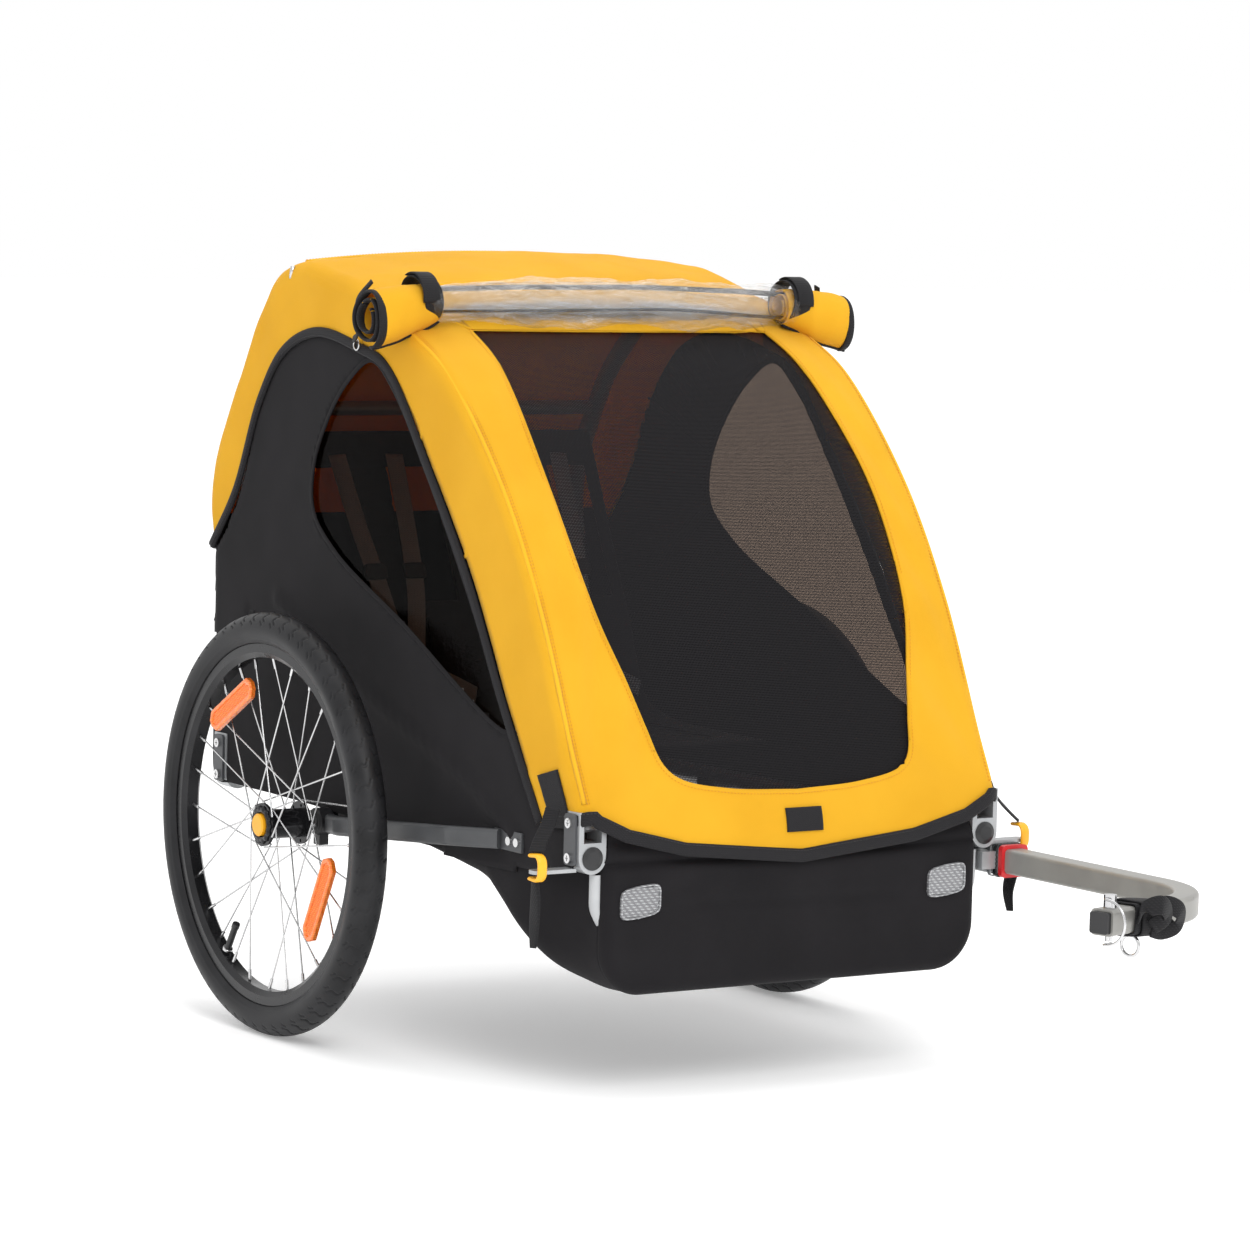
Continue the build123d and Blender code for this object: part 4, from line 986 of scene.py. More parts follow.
def vinyl_layer(name, radius, depth, seed):
    """One crumpled layer of the rolled vinyl. Between the straps it lies forward on the roof."""
    rows = []
    for x in np.linspace(-STRAP_X - 0.008, STRAP_X + 0.008, 210):
        belly = 1.04 - 0.16 * abs(x / STRAP_X) ** 3 + 0.10 * wave((x, 0, 0), 5.0, seed)
        slack = max(1 - abs(x / STRAP_X) ** 3, 0.0)
        forward = 0.95 + 0.5 * wave((x, 1, 0), 4.0, seed)
        row = []
        for a in round_angles(84):
            p = (x * 0.55, 0.03 * math.cos(a), 0.03 * math.sin(a))
            r = radius * belly + depth * crumple(p, seed)
            ahead = max(-math.cos(a), 0.0) * r * slack * forward
            y = ROLL_Y + 1.12 * r * math.cos(a) - ahead
            z = ROLL_Z + roll_lift(x) - 0.004 * slack + 0.88 * r * math.sin(a) - 0.55 * ahead
            on_roof = roof_height(x, y) + 0.0012 + 0.10 * r * (1 + math.sin(a))
            row.append([x, y, max(z, on_roof)])
        rows.append(row)
    return on_cover(sheet(name, rows, wrap_cols=True), VINYL)


def spiral(turns, first, last, count, tilt=0.0):
    """A rolled-up cross-section as (Y, Z) offsets from the middle of the roll."""
    angle = np.linspace(0, 2 * math.pi * turns, count)
    r = first + (last - first) * angle / angle[-1]
    r *= 1 + 0.05 * np.sin(3 * angle + tilt)
    return np.stack([r * np.cos(angle + tilt) * 1.06, r * np.sin(angle + tilt)], 1)


def rolled_end(label, sign):
    """The yellow fabric end of the roll: open layers, black binding on its edge, pulled in by the strap."""
    rows = []
    xs = np.linspace(STRAP_X - 0.016, ROLL_HALF - 0.002, 34)
    for k, x in enumerate(xs):
        share = k / (len(xs) - 1)
        size = 0.90 + 0.42 * math.sin(share * math.pi * 0.62) + 0.12 * share
        row = []
        for y, z in spiral(2.35, 0.009, 0.0238, 130, 2.2):
            w = 0.0026 * wave((x * 3, y * 2, z * 2), 16.0, 51.0 + sign)
            drop = 0.005 + 0.018 * share
            row.append([sign * x, ROLL_Y + y * (size + w * 30), ROLL_Z - drop + z * (size + w * 30)])
        rows.append(row)
    sleeve = sheet(f"{label}_roll_sleeve", rows)
    cloth(sleeve, YELLOW, None, "front_cover", 0.0011, 0.0)
    edge = np.array(rows[-1])
    centre = np.array([edge[:, 0].mean(), ROLL_Y, ROLL_Z])
    away = edge - centre
    away[:, 0] = 0
    away = unit(away)
    tape = sweep(f"{label}_roll_end_binding", edge - [sign * 0.004, 0, 0], flat(0.010, 0.0034), away)
    on_cover(tape, BINDING)
    hem = np.array([row[-1] for row in rows])
    out = np.array([[0, 0.3, -1.0]] * len(hem))
    on_cover(sweep(f"{label}_roll_long_binding", hem, flat(0.009, 0.0032), out), BINDING)


def rain_shield():
    """Rolled clear vinyl with two bound hems inside, its fabric ends, two straps and two ties."""
    outer = vinyl_layer("rain_shield_outer", ROLL_R * 1.02, 0.0040, 61.0)
    vinyl_layer("rain_shield_middle", ROLL_R * 0.78, 0.0042, 63.0)
    vinyl_layer("rain_shield_inner", ROLL_R * 0.50, 0.0030, 67.0)
    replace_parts(outer, "rain_shield_roll")
    for k, (turn, seed) in enumerate(((0.9, 71.0), (4.4, 73.0))):
        path = []
        for x in np.linspace(-STRAP_X, STRAP_X, 120):
            a = turn + 0.5 * wave((x, 0, 0), 6.0, seed)
            r = ROLL_R * (0.60 + 0.10 * wave((x, 1, 0), 7.0, seed))
            path.append([x, ROLL_Y + r * math.cos(a), ROLL_Z + roll_lift(x) + r * math.sin(a)])
        hem = sweep(f"rain_shield_hem_{k}", path, flat(0.009, 0.0016), (0, math.cos(turn), math.sin(turn)))
        on_cover(hem, BINDING)
    for sign, label in SIDES:
        rolled_end(label, sign)
        loop, out = [], []
        for a in round_angles(64):
            r = ROLL_R + 0.0006 + 0.0010 * math.sin(2 * a + 0.6)
            loop.append([sign * (STRAP_X + 0.0025 * math.sin(a)), ROLL_Y + r * 1.05 * math.cos(a),
                         ROLL_Z + r * math.sin(a)])
            out.append([0, math.cos(a), math.sin(a)])
        strap = sweep(f"{label}_roll_strap", loop, flat(0.024, 0.0022), np.array(out), closed=True)
        on_cover(strap, BLACK_WEB)
        if sign > 0:
            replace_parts(strap, "roll_straps")
        a = np.linspace(0.35 * math.pi, 1.05 * math.pi, 20)
        r = ROLL_R + 0.004
        tail = [[sign * (STRAP_X + 0.004), ROLL_Y + r * math.cos(v), ROLL_Z + r * math.sin(v)] for v in a]
        outs = np.array([[0, math.cos(v), math.sin(v)] for v in a])
        on_cover(sweep(f"{label}_roll_strap_tail", tail, flat(0.022, 0.0020), outs), BLACK_WEB)
        ring_at = at(SIDE_CURVE, BORDER_SEAM)
        hang = smooth([(sign * (ROLL_HALF - 0.020), ROLL_Y + 0.020, ROLL_Z + 0.018),
                       (sign * (ROLL_HALF - 0.010), ROLL_Y + 0.034, ROLL_Z - 0.004),
                       (sign * (ROLL_HALF - 0.020), ROLL_Y + 0.050, ROLL_Z - 0.040),
                       (sign * (HALF + 0.009), ring_at[0] + 0.002, ring_at[1] + 0.010)], 40)
        dress(sweep(f"{label}_roll_tie", hang, flat(0.009, 0.0024), (sign, 0.2, 0.2)), BINDING)


# --- seat and harness -----------------------------------------------------------------
SEAT_LOW, SEAT_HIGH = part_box("seat_sling")
FOLD_Y, FOLD_Z = 0.075, 0.345
SEAT_HALF = SEAT_HIGH.x
BACK_TOP = np.array([0.232, 0.690])
BACK_DIR = (BACK_TOP - [FOLD_Y, FOLD_Z]) / np.linalg.norm(BACK_TOP - [FOLD_Y, FOLD_Z])
CHILD_X = 0.118
GAPS = ((0.022, 0.088), (0.142, 0.200))  # openings between the seat's straps, from the middle outward
GAP_ROWS = (96, 138)  # rows of the seat's 150 that the openings take up


def on_back(x, up, off):
    """A point on the seat back: up it from the fold, and off it towards the child."""
    y = FOLD_Y + BACK_DIR[0] * up - BACK_DIR[1] * off
    z = FOLD_Z + BACK_DIR[1] * up + BACK_DIR[0] * off
    return np.array([x, y, z])


BACK_OUT = (0.0, -float(BACK_DIR[1]), float(BACK_DIR[0]))


def seat():
    """Two-place hammock seat: padded up to shoulder height, then straps with open gaps between them."""
    profile = [(SEAT_LOW.y + 0.004, SEAT_LOW.z + 0.006), (-0.08, 0.336), (0.035, 0.343), (0.083, 0.362)]
    path = smooth(profile + [(0.125, 0.455), (0.178, 0.571), (0.229, 0.684)], 150)
    xs = np.linspace(-SEAT_HALF, SEAT_HALF, 109)
    rows = []
    for k, (y, z) in enumerate(path):
        share = k / (len(path) - 1)
        droop = math.sin(math.pi * min(share * 1.02, 1.0))
        row = []
        for x in xs:
            bay = 0.5 - 0.5 * math.cos(2 * math.pi * min(abs(x) / SEAT_HALF, 1.0))
            sag = (0.014 * bay + 0.0015 * wave((x, y, z), 12.0, 81.0)) * droop
            channel = 0.003 * max(math.cos(2 * math.pi * share * 13), 0.0) ** 6 * bay
            drop = np.array([0, 1, 0]) if share > 0.45 else np.array([0, 0, -1])
            row.append(np.array([x, y, z]) + drop * (sag * 0.6 + channel))
        rows.append(row)
    obj = sheet("seat_sling_cloth", rows)
    across = len(xs) - 1
    middles = np.abs((xs[:-1] + xs[1:]) / 2)
    open_columns = [j for j, x in enumerate(middles) if any(low < x < high for low, high in GAPS)]
    gaps = [i * across + j for i in range(*GAP_ROWS) for j in open_columns]
    edit_mesh(obj, lambda b: bmesh.ops.delete(b, geom=[b.faces[k] for k in gaps], context="FACES"))
    cloth(obj, SEAT_CLOTH, "seat_sling", thick=0.004, offset=0.0)
    for k, x in enumerate((-0.165, -0.075, 0.075, 0.165)):
        line = [[x, y - 0.0035, z] if z > 0.36 else [x, y, z + 0.0035] for y, z in path[10:92]]
        piping = sweep(f"seat_piping_{k}", line, circle(0.0016, 8), (1, 0, 0))
        dress(piping, BINDING)


def rounded_block(name, size, power=4.0, rings=20, around=36):
    """A soft-cornered block (superellipsoid) about the origin."""
    def curve(v):
        return math.copysign(abs(v) ** (2 / power), v)
    rows = []
    for i in range(rings + 1):
        u = -math.pi / 2 + math.pi * i / rings
        rows.append([[size[0] / 2 * curve(math.cos(u)) * curve(math.cos(v)),
                      size[1] / 2 * curve(math.cos(u)) * curve(math.sin(v)), size[2] / 2 * curve(math.sin(u))]
                     for v in round_angles(around)])
    obj = sheet(name, rows, wrap_cols=True)
    edit_mesh(obj, lambda b: bmesh.ops.remove_doubles(b, verts=b.verts, dist=0.00002))
    return recalculate(obj)


def place(obj, origin, x_axis, z_axis):
    """Moves a piece's mesh so that its x and z axes point along the given directions, about an origin."""
    x, z = Vector(x_axis).normalized(), Vector(z_axis).normalized()
    y = z.cross(x).normalized()
    matrix = Matrix((x, y, z)).transposed().to_4x4()
    matrix.translation = Vector(origin)
    obj.data.transform(matrix)
    return obj


def harness(label, sign):
    """Shoulder straps, lap straps, crotch strap, adjusters and buckle of one child's place."""
    middle = sign * CHILD_X
    buckle_at = on_back(middle, 0.062, 0.015)
    straps = []

    def web(name, points, count, width):
        straps.append(sweep(name, smooth(points, count), flat(width, 0.0016), BACK_OUT))

    for k, side in enumerate((-1, 1)):
        shoulder = ((0.012, 0.088, 0.014), (0.024, 0.16, 0.020), (0.034, 0.25, 0.014), (0.040, 0.34, 0.008))
        web(f"s{k}", [on_back(middle + side * x, up, off) for x, up, off in shoulder], 50, 0.024)
        lap = ((0.018, 0.060, 0.014), (0.050, 0.046, 0.012), (0.088, 0.030, 0.004))
        web(f"l{k}", [on_back(middle + side * x, up, off) for x, up, off in lap], 30, 0.022)
    crotch = [on_back(middle, 0.036, 0.014), on_back(middle, 0.012, 0.022)]
    crotch += [(middle, FOLD_Y - 0.060, FOLD_Z + 0.006), (middle, FOLD_Y - 0.090, FOLD_Z + 0.002)]
    web("c", crotch, 34, 0.024)
    for strap in straps:
        paint(strap, GREY_WEB)
    webs = join(f"{label}_harness_webbing", straps)
    soft(webs)
    blocks = []
    for side in (-1, 1):
        adjuster = rounded_block("a", (0.030, 0.020, 0.007), 6)
        place(adjuster, on_back(middle + side * 0.027, 0.185, 0.021), (1, 0, 0), BACK_OUT)
        blocks.append(paint(adjuster, BLACK))
    soft(join(f"{label}_harness_adjusters", blocks))
    shell = place(rounded_block(f"{label}_buckle_shell", (0.042, 0.058, 0.015), 5), buckle_at, (1, 0, 0),
                  BACK_OUT)
    dress(shell, BLACK)
    button_at = buckle_at + np.array(BACK_OUT) * 0.0066
    up_back = np.array([0, BACK_DIR[0], BACK_DIR[1]])
    loop = [button_at + np.array([0.0104 * math.cos(a), 0, 0]) + up_back * 0.0104 * math.sin(a)
            for a in round_angles(40)]
    rim = sweep(f"{label}_buckle_rim", loop, circle(0.0012, 8), BACK_OUT, closed=True)
    dress(rim, BLACK)
    button = rounded_block(f"{label}_buckle_button_cap", (0.0165, 0.0165, 0.008), 2.6)
    place(button, button_at, (1, 0, 0), BACK_OUT)
    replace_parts(paint(button, YELLOW_HARD), f"{label}_buckle_button")
    soft(button, f"{label}_buckle_button")
    if sign > 0:
        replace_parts(webs, "harness_straps")
        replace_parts(shell, "harness_buckles")


# --- hooks, straps and reflectors ------------------------------------------------------
def swapped(profile):
    return [(v, u) for u, v in profile]


def corner_hooks():
    """Yellow hooks on black webbing that hold the cover's lower corners down to the castings' tabs."""
    low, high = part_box("cover_hooks")
    x, y, z = high.x - 0.006, (low.y + high.y) / 2, (low.z + high.z) / 2
    c_shape = [(0.011, -0.0125), (-0.004, -0.0125), (-0.0085, -0.008), (-0.0095, 0.0)]
    c_shape += [(-0.0085, 0.008), (-0.004, 0.0125), (0.011, 0.0125)]
    for sign, label in SIDES:
        path = smooth([(sign * x, y + a, z + b) for a, b in c_shape], 44)
        hook = sweep(f"{label}_cover_hook", path, swapped(flat(0.0115, 0.0042)), (1, 0, 0))
        bevel(paint(hook, YELLOW_HARD), 0.0006)
        soft(hook, "front_cover")
        down = smooth([(sign * 0.296, y + 0.018, 0.322), (sign * 0.303, y + 0.016, 0.305),
                       (sign * 0.316, y + 0.010, 0.289), (sign * x, y + 0.003, z + 0.0165)], 30)
        web = sweep(f"{label}_hook_web", down, flat(0.017, 0.0020), (sign * 0.5, -0.4, 0.5))
        on_cover(web, BLACK_WEB)
        if sign > 0:
            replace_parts(hook, "cover_hooks")
            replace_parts(web, "hook_straps")
        hang = smooth([(sign * x, y + 0.004, z - 0.0150), (sign * (x - 0.002), y + 0.006, z - 0.034),
                       (sign * (x - 0.005), y + 0.012, z - 0.064),
                       (sign * (x - 0.003), y + 0.010, z - 0.088)], 40)
        rings = []
        _, side, up = frames(hang, (sign, 0.0, 0.1))
        for k, p in enumerate(hang):
            share = k / (len(hang) - 1)
            wide = 0.5 + 1.0 * math.sin(math.pi * min(share * 0.75 + 0.12, 1.0))
            thick = 1.9 - 0.9 * share
            rings.append([p + s * side[k] * wide + u * up[k] * thick for s, u in flat(0.0135, 0.0026)])
        tail = sheet(f"{label}_hook_strap_tail", rings, wrap_cols=True)
        recalculate(tail)
        modifier(tail, "SUBSURF", levels=1, render_levels=1)
        on_cover(tail, BLACK_WEB)


def lens_outline(count=72):
    """Rounded parallelogram with gently curved long edges, as (u, v) within half a unit."""
    points = []
    for a in round_angles(count):
        c, s = math.cos(a), math.sin(a)
        u, v = math.copysign(abs(c) ** 0.36, c), math.copysign(abs(s) ** 0.36, s)
        points.append((u * 0.5, v * 0.5 * (0.90 + 0.10 * math.cos(u * 1.4)) + u * 0.09))
    return points


def prism_face(name, outline, size, depth, cell, lean, frame_of):
    """A reflector: an outer wall, a raised rim, and rows of small pyramids inside.
    frame_of(u, v, w) places a point."""
    verts, faces = [], []
    count = len(outline)

    def scaled(scale):
        lengthwise = 1 - (1 - scale) * size[0] / size[1]
        return [(u * size[0] * scale, v * size[1] * lengthwise) for u, v in outline]

    steps = [(1.0, 0.0), (1.0, 0.75), (0.985, 0.93), (0.965, 1.0), (0.93, 1.0), (0.91, 0.93), (0.90, 0.72)]
    for shrink, w in steps:
        verts += [frame_of(u, v, w * depth) for u, v in scaled(shrink)]
    faces += grid_faces(len(steps), count, False, True)
    faces.append(tuple(range(count))[::-1])
    faces.append(tuple((len(steps) - 1) * count + k for k in range(count)))
    ring = np.array(scaled(0.885))
    bed = depth * 0.721
    for i in range(int(size[0] / cell) + 1):
        for j in range(int(size[1] / cell) + 1):
            u, v = (i + 0.5) * cell - size[0] / 2, (j + 0.5) * cell - size[1] / 2
            u += lean * ((j % 2) - 0.5) * cell
            if not inside(ring, np.array([[u, v]]))[0]:
                continue
            base = len(verts)
            h = cell * 0.5
            verts += [frame_of(u + a * h, v + b * h, bed) for a, b in ((-1, -1), (1, -1), (1, 1), (-1, 1))]
            verts.append(frame_of(u, v, bed + cell * 0.34))
            faces += [(base + k, base + (k + 1) % 4, base + 4) for k in range(4)]
    obj = mesh_object(name, verts, faces)
    for polygon in obj.data.polygons:
        polygon.use_smooth = False
    return obj


def front_lenses():
    """Two clear reflectors on the footwell's front."""
    low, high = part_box("front_reflectors")
    z, y = (low.z + high.z) / 2, high.y
    wide, tall, deep = 0.052, high.z - low.z, high.y - low.y
    x = high.x - wide / 2
    for sign, label in SIDES:
        obj = prism_face(f"{label}_front_reflector", lens_outline(), (wide, tall * 0.97), deep + 0.003,
                         0.0021, 0.5,
                         lambda u, v, w: (sign * x + u, y + 0.003 - w, z + v))
        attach(paint(obj, CLEAR), "base")
        if sign > 0:
            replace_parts(obj, "front_reflectors")


# --- wheels ---------------------------------------------------------------------------
WHEEL_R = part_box("left_tyre")[1].z / 2
WHEEL_X = (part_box("left_tyre")[0].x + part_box("left_tyre")[1].x) / 2
TYRE_R = (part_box("left_tyre")[1].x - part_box("left_tyre")[0].x) / 2


def tread_depth(around, angle):
    """Depth of the curved sipes. around is the distance round the tyre; angle is degrees from its crown."""
    pitch = 2 * math.pi * WHEEL_R / 64
    depth = np.zeros(np.broadcast(around, angle).shape)
    for sign in (-1, 1):
        for first, last, bow, shift in ((7, 33, 0.30, 0.0), (30, 62, -0.26, 0.5), (58, 74, 0.10, 0.2)):
            u = (sign * angle - first) / (last - first)
            share = np.clip(u, 0, 1)
            centre = bow * np.sin(math.pi * share) + 0.35 * share + shift + (0.5 if sign > 0 else 0.0)
            gap = np.abs((around / pitch - centre + 0.5) % 1.0 - 0.5) * pitch
            inside_ends = np.clip(np.minimum(u, 1 - u) * 8, 0, 1)
            depth = np.maximum(depth, np.clip(1.6 - gap / 0.0010, 0, 1) * inside_ends)
    return depth * 0.0013


def tyre(label, sign):
    """Tyre with sipes cut in its tread, a fine line at the bead, and its inner wall."""
    turn = round_angles(1150)
    outer = np.radians(np.linspace(-141, 141, 68))
    inner = np.radians(np.linspace(141, -141, 14))
    ring_r = WHEEL_R - TYRE_R
    depth = tread_depth(turn[:, None] * WHEEL_R, np.degrees(outer)[None, :])
    bead = 0.0006 * np.exp(-((np.abs(np.degrees(outer)) - 118) / 3.0) ** 2)
    r = TYRE_R - depth + bead[None, :]
    inner_r = np.full((len(turn), 1), TYRE_R - 0.0032)
    x = np.concatenate([r * np.sin(outer), inner_r * np.sin(inner)], 1)
    rho = ring_r + np.concatenate([r * np.cos(outer), inner_r * np.cos(inner)], 1)
    rows = np.stack([sign * (WHEEL_X + x), rho * np.cos(turn)[:, None],
                     WHEEL_R + rho * np.sin(turn)[:, None]], 2)
    obj = mesh_object(f"{label}_tyre_tread", rows.reshape(-1, 3), grid_faces(*rows.shape[:2], True, True))
    recalculate(obj)
    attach(paint(obj, TYRE), f"{label}_wheel")
    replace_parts(obj, f"{label}_tyre")


def spoke_reflectors(label, sign):
    """Two long orange reflectors with pointed ends, clipped over the spokes."""
    low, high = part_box(f"{label}_wheel_reflectors")
    face = low.x if sign > 0 else high.x
    long_shape = [(-0.5, -0.16), (-0.5, 0.16), (-0.43, 0.5), (0.43, 0.5), (0.5, 0.16), (0.5, -0.16)]
    long_shape += [(0.43, -0.5), (-0.43, -0.5), (-0.5, -0.16)]
    outline = even(long_shape, 73)[:-1][::-1]
    parts = []
    for angle in (60, -153):
        a = math.radians(angle)
        out, along = np.array([0, math.cos(a), math.sin(a)]), np.array([0, -math.sin(a), math.cos(a)])
        middle = np.array([face, 0, WHEEL_R]) + out * 0.152
        parts.append(prism_face("r", outline, (0.110, 0.026), 0.0062, 0.0030, 0.0,
                                lambda u, v, w: middle + along * u * sign + out * v + [sign * w, 0, 0]))
        clips = [rounded_block("k", (0.008, 0.005, 0.010), 5) for _ in range(2)]
        for clip, where in zip(clips, (-0.03, 0.03)):
            place(clip, middle + along * where - [sign * 0.001, 0, 0], along, (sign, 0, 0))
        parts += clips
    for p in parts:
        paint(p, ORANGE)
    obj = join(f"{label}_spoke_reflector_set", parts)
    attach(obj, f"{label}_wheel")
    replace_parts(obj, f"{label}_wheel_reflectors")


def hub_flange(label, sign):
    """Scalloped trim ring round the release button."""
    rows = []
    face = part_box(f"{label}_hub")[1].x if sign > 0 else -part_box(f"{label}_hub")[0].x
    section = ((0.0140, 0.0), (0.0150, 0.0018), (0.0178, 0.0022), (0.0205, 0.0010), (0.0212, -0.0018))
    for radius, out in section:
        row = []
        for a in round_angles(112):
            r = radius + (0.0011 * math.cos(14 * a) if radius > 0.017 else 0.0)
            row.append([sign * (face + out - 0.0012), r * math.cos(a), WHEEL_R + r * math.sin(a)])
        rows.append(row)
    obj = sheet(f"{label}_hub_trim", rows, wrap_cols=True)
    recalculate(obj)
    thicken(paint(obj, HUB), 0.0008, 0.0)
    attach(obj, f"{label}_wheel")


def valve(label, sign):
    """Cap and nut of the valve stem."""
    a = math.radians(-58)
    out = np.array([0, math.cos(a), math.sin(a)])
    middle = np.array([sign * WHEEL_X, 0, WHEEL_R])
    for part, (near, far, radius, material) in {
        "valve_nut": (0.1905, 0.1870, 0.0062, STEEL), "valve_cap": (0.1570, 0.1500, 0.0047, BLACK),
    }.items():
        path = [middle + out * r for r in np.linspace(near, far, 5)]
        obj = sweep(f"{label}_{part}", path, circle(radius, 12), (1, 0, 0))
        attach(bevel(paint(obj, material), 0.0006), f"{label}_wheel")


# --- tow arm --------------------------------------------------------------------------
ARM_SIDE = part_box("tow_arm")[1].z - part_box("tow_arm")[0].z
ARM_Z = (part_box("tow_arm")[1].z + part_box("tow_arm")[0].z) / 2
RECEIVER_LOW, RECEIVER_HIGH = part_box("tow_receiver")
ARM_X = (RECEIVER_HIGH.x * 2 - 0.034) / 2
ARM_LEAN = math.radians(15.8)
ALONG = np.array([-math.cos(ARM_LEAN), -math.sin(ARM_LEAN), 0.0])
FRONTWARD = np.array([math.sin(ARM_LEAN), -math.cos(ARM_LEAN), 0.0])
ARM_TIP = np.array([0.100, -0.955, ARM_Z])


def squared(angle, power):
    """Cosine, sine and stretch of an angle, for a square whose corners are sharper at a higher power."""
    c, s = math.cos(angle), math.sin(angle)
    return c, s, (abs(c) ** power + abs(s) ** power) ** (-1 / power)


def on_arm(back, front, up):
    """A point near the arm's end: back from its open end, in front of its middle, and above it."""
    return ARM_TIP - ALONG * back + FRONTWARD * front + np.array([0, 0, up])


def band_round_arm(name, back, width, grow, phase=0.0):
    """Webbing wound once round the square arm, with soft corners."""
    path, out = [], []
    r = ARM_SIDE / 2 + grow
    for a in round_angles(72):
        c, s, k = squared(a, 7)
        path.append(on_arm(back + 0.003 * math.sin(a + phase), r * c * k, r * s * k))
        out.append(FRONTWARD * c + np.array([0, 0, s]))
    return sweep(name, path, flat(width, 0.0022), np.array(out), closed=True)


def arm_straps():
    """Black safety webbing: two turns round the arm's end, two open loops in front, a free tail behind,
    and the steel ring."""
    half = ARM_SIDE / 2
    parts = [band_round_arm("w0", 0.050, 0.024, 0.0016), band_round_arm("w1", 0.056, 0.022, 0.0042, 1.2)]
    loops = [
        [(0.064, half + 0.003, 0.008), (0.076, half + 0.014, 0.014), (0.094, half + 0.020, 0.006),
         (0.098, half + 0.014, -0.008), (0.082, half + 0.006, -0.014), (0.064, half + 0.004, -0.010)],
        [(0.044, half + 0.004, 0.004), (0.036, half + 0.016, 0.014), (0.050, half + 0.026, 0.018),
         (0.070, half + 0.020, 0.004), (0.060, half + 0.008, -0.008)],
        [(0.060, -half - 0.003, -0.004), (0.082, -half - 0.006, -0.010), (0.106, -half - 0.004, -0.006)],
    ]
    for k, loop in enumerate(loops):
        path = smooth([on_arm(*p) for p in loop], 60)
        parts.append(sweep(f"w{k + 2}", path, flat(0.020, 0.0022), FRONTWARD * 0.2 + [0, 0, 0.02]))
    for p in parts:
        paint(p, BLACK_WEB)
    webs = join("safety_webbing", parts)
    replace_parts(webs, "safety_strap")
    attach(webs, "base")
    ring_low, ring_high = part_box("strap_ring")
    centre = (np.array(ring_low) + np.array(ring_high)) / 2
    r = (ring_high.z - ring_low.z) / 2 - 0.002
    loop = [centre + FRONTWARD * r * math.cos(a) + [0, 0, r * math.sin(a)] for a in round_angles(48)]
    ring = sweep("safety_ring", loop, circle(0.0019, 12), ALONG, closed=True)
    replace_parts(paint(ring, STEEL), "strap_ring")
    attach(ring, "base")


def receiver_trim():
    """Black notched gasket and grey lip at the mouth of the receiver."""
    mouth = RECEIVER_LOW.y
    r = 0.0185
    for name, y, grow, thick, material in (("receiver_gasket", mouth + 0.006, 0.0006, 0.007, BLACK),
                                           ("receiver_lip", mouth + 0.016, 0.0008, 0.006, CAST)):
        path, out = [], []
        for a in round_angles(96):
            c, s, k = squared(a, 8)
            notch = 0.0006 * (math.cos(24 * a) > 0) if material is BLACK else 0.0
            reach = r - 0.0005 + grow - notch
            path.append((ARM_X + reach * c * k, y, ARM_Z + reach * s * k))
            out.append((c, 0, s))
        ring = sweep(name, path, flat(thick, 0.0016), np.array(out), closed=True)
        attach(paint(ring, material), "base")


# --- CAD pieces that stay, with their finish -------------------------------------------
FINISHES = {
    "inner_tube": (BLACK, 0.0003), "rim": (RIM, 0.0006), "hub": (HUB, 0.0004),
    "release_button": (YELLOW_HARD, 0.0012),
    "wheel_bearings": (STEEL, 0.0002), "wheel_axles": (STEEL, 0.0003), "spokes": (STEEL, 0.0),
    "base_rails": (TUBE, 0.0003), "rail_end_caps": (BLACK, 0.0008), "front_castings": (CAST, 0.0009),
    "rear_castings": (CAST, 0.0009), "casting_plates": (PLATE, 0.0007), "frame_screws": (STEEL, 0.0005),
    "cross_tubes": (TUBE, 0.0003), "axle_tube": (TUBE, 0.0003), "axle_saddles": (BLACK, 0.001),
    "axle_sleeves": (BLACK, 0.0010), "guard_bars": (GUARD, 0.0006), "footwell_hoop": (PALE, 0.0003),
    "front_bows": (TUBE, 0.0003), "bow_latches": (BLACK, 0.0008), "rear_hoop": (TUBE, 0.0003),
    "hoop_feet": (CAST, 0.0008), "seat_bar": (TUBE, 0.0003), "cargo_floor": (BLACK_CLOTH_FREE, 0.0004),
    "tow_receiver": (CAST, 0.0007), "receiver_collar": (RED, 0.0009), "receiver_pin": (BLACK, 0.0006),
    "tow_arm": (ARM, 0.0004), "arm_end_block": (BLACK, 0.0008), "hitch_pin": (STEEL, 0.0006),
    "hitch_bail": (STEEL, 0.0),
}


def finish_cad_nodes():
    """Gives each CAD node that stays visible its material and a small bevel."""
    for name, obj in NODES.items():
        if obj.hide_render:
            continue
        stem = name.split("_", 1)[1] if name.startswith(("left_", "right_")) else name
        material, width = FINISHES[stem]
        obj.data.materials.clear()
        obj.data.materials.append(material)
        if width:
            bevel(obj, width, 2, 40)


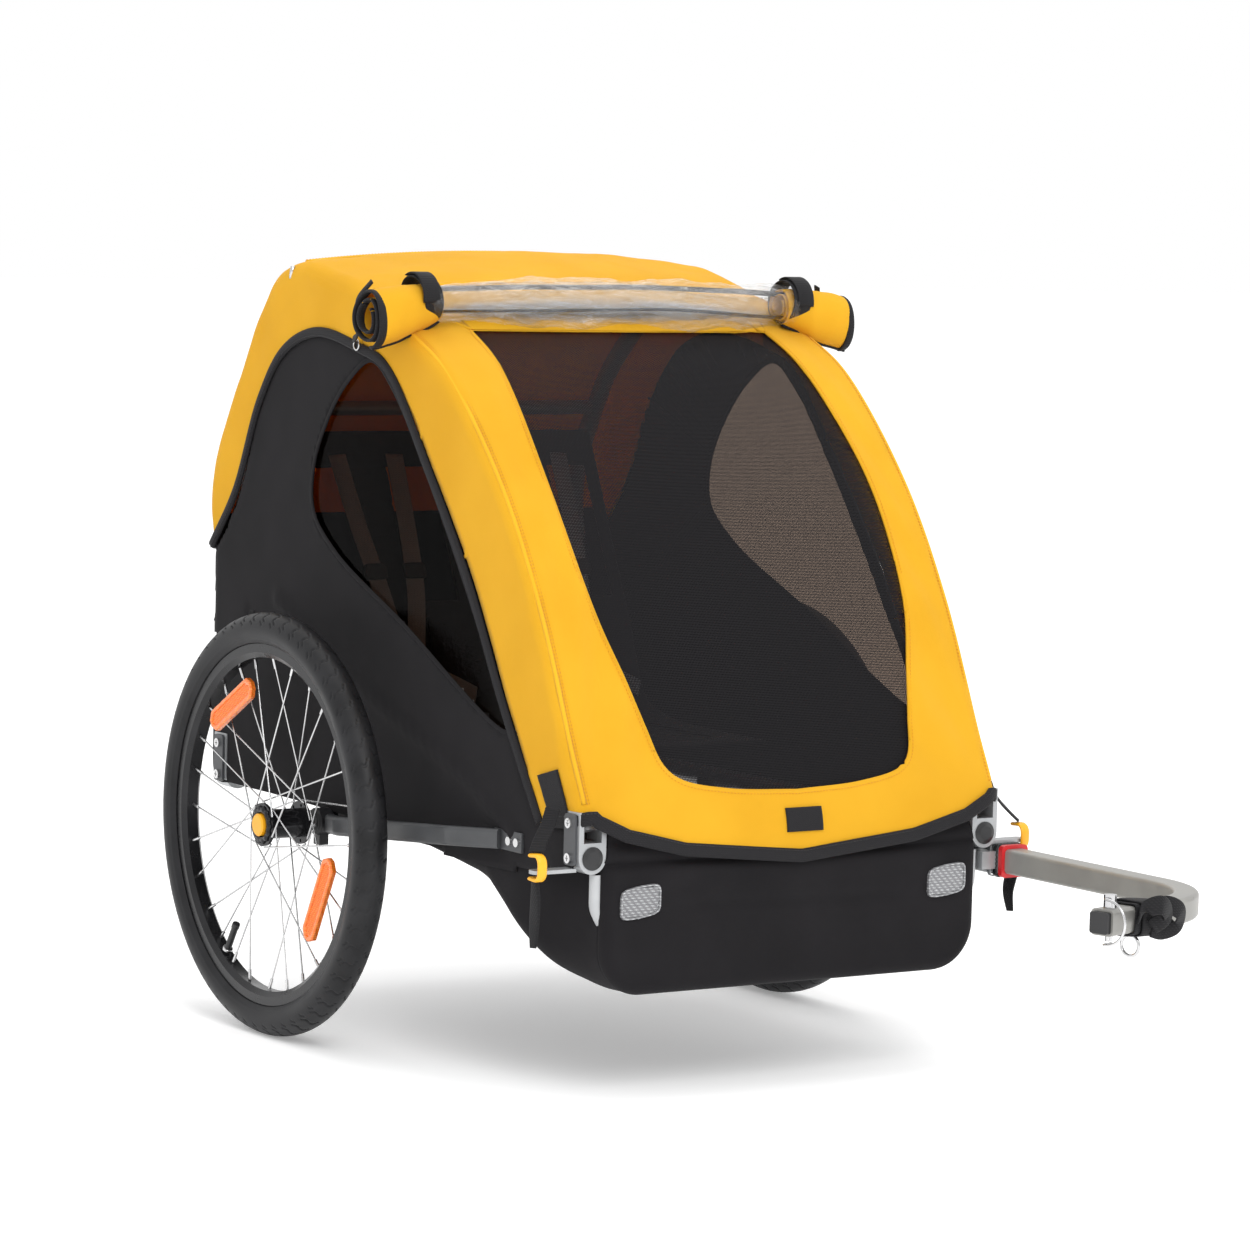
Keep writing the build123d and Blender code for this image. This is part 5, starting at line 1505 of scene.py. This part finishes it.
# --- floor, light and camera -----------------------------------------------------------
def studio():
    """White floor, white surroundings and four soft lamps."""
    floor = sheet("studio_floor",
                  [[(x, y, 0.0) for x in np.linspace(-40, 40, 9)] for y in np.linspace(-40, 40, 9)])
    s = Shader("studio_floor_paint")
    speck = s.noise(s.object_place(), 3.0, 2.0)
    s.finish(Base_Color=s.mix(speck, rgba(0.955, 0.955, 0.955), rgba(0.975, 0.975, 0.975)), Roughness=0.9)
    s.finish(Specular_IOR_Level=0.0, Emission_Color=rgba(1.0, 1.0, 1.0), Emission_Strength=0.22)
    paint(floor, s.material)
    world = bpy.data.worlds.new("studio")
    world.use_nodes = True
    world.node_tree.nodes["Background"].inputs["Color"].default_value = rgba(1.0, 1.0, 1.0)
    world.node_tree.nodes["Background"].inputs["Strength"].default_value = 1.0
    bpy.context.scene.world = world
    lights = (("key", (-1.2, -3.6, 3.0), 1.8, 60.0), ("fill", (3.4, -2.4, 2.2), 2.4, 14.0),
              ("top", (0.2, 0.2, 3.8), 2.6, 34.0), ("rim", (1.6, 3.6, 2.6), 2.4, 12.0))
    for name, spot, size, watts in lights:
        lamp = bpy.data.lights.new(name, "AREA")
        lamp.size, lamp.energy = size, watts
        obj = bpy.data.objects.new(name, lamp)
        obj.location = spot
        obj.rotation_euler = (Vector((0, -0.1, 0.35)) - Vector(spot)).to_track_quat("-Z", "Y").to_euler()
        bpy.context.scene.collection.objects.link(obj)
    bpy.context.scene.view_settings.view_transform = "Standard"


def camera():
    """A long lens from the front right of the trailer, a little above it."""
    data = bpy.data.cameras.new("camera")
    data.lens = 135.96
    data.sensor_width = 36.0
    data.clip_end = 100.0
    obj = bpy.data.objects.new("camera", data)
    right = (0.83584, -0.54842, 0.02450)
    up = (0.02889, 0.08850, 0.99566)
    ahead = (0.54821, 0.83150, -0.08982)
    matrix = Matrix((right, up, [-v for v in ahead])).transposed().to_4x4()
    matrix.translation = Vector((-2.99559, -4.73623, 0.97347))
    obj.matrix_world = matrix
    bpy.context.scene.collection.objects.link(obj)
    bpy.context.scene.camera = obj


front_cover()
front_cover_trim()
roof_and_back()
side_binding()
side_walls()
footwell()
rain_shield()
seat()
corner_hooks()
front_lenses()
arm_straps()
receiver_trim()
for which, direction in (("left", 1), ("right", -1)):
    harness(which, direction)
    tyre(which, direction)
    spoke_reflectors(which, direction)
    hub_flange(which, direction)
    valve(which, direction)
finish_cad_nodes()
studio()
camera()
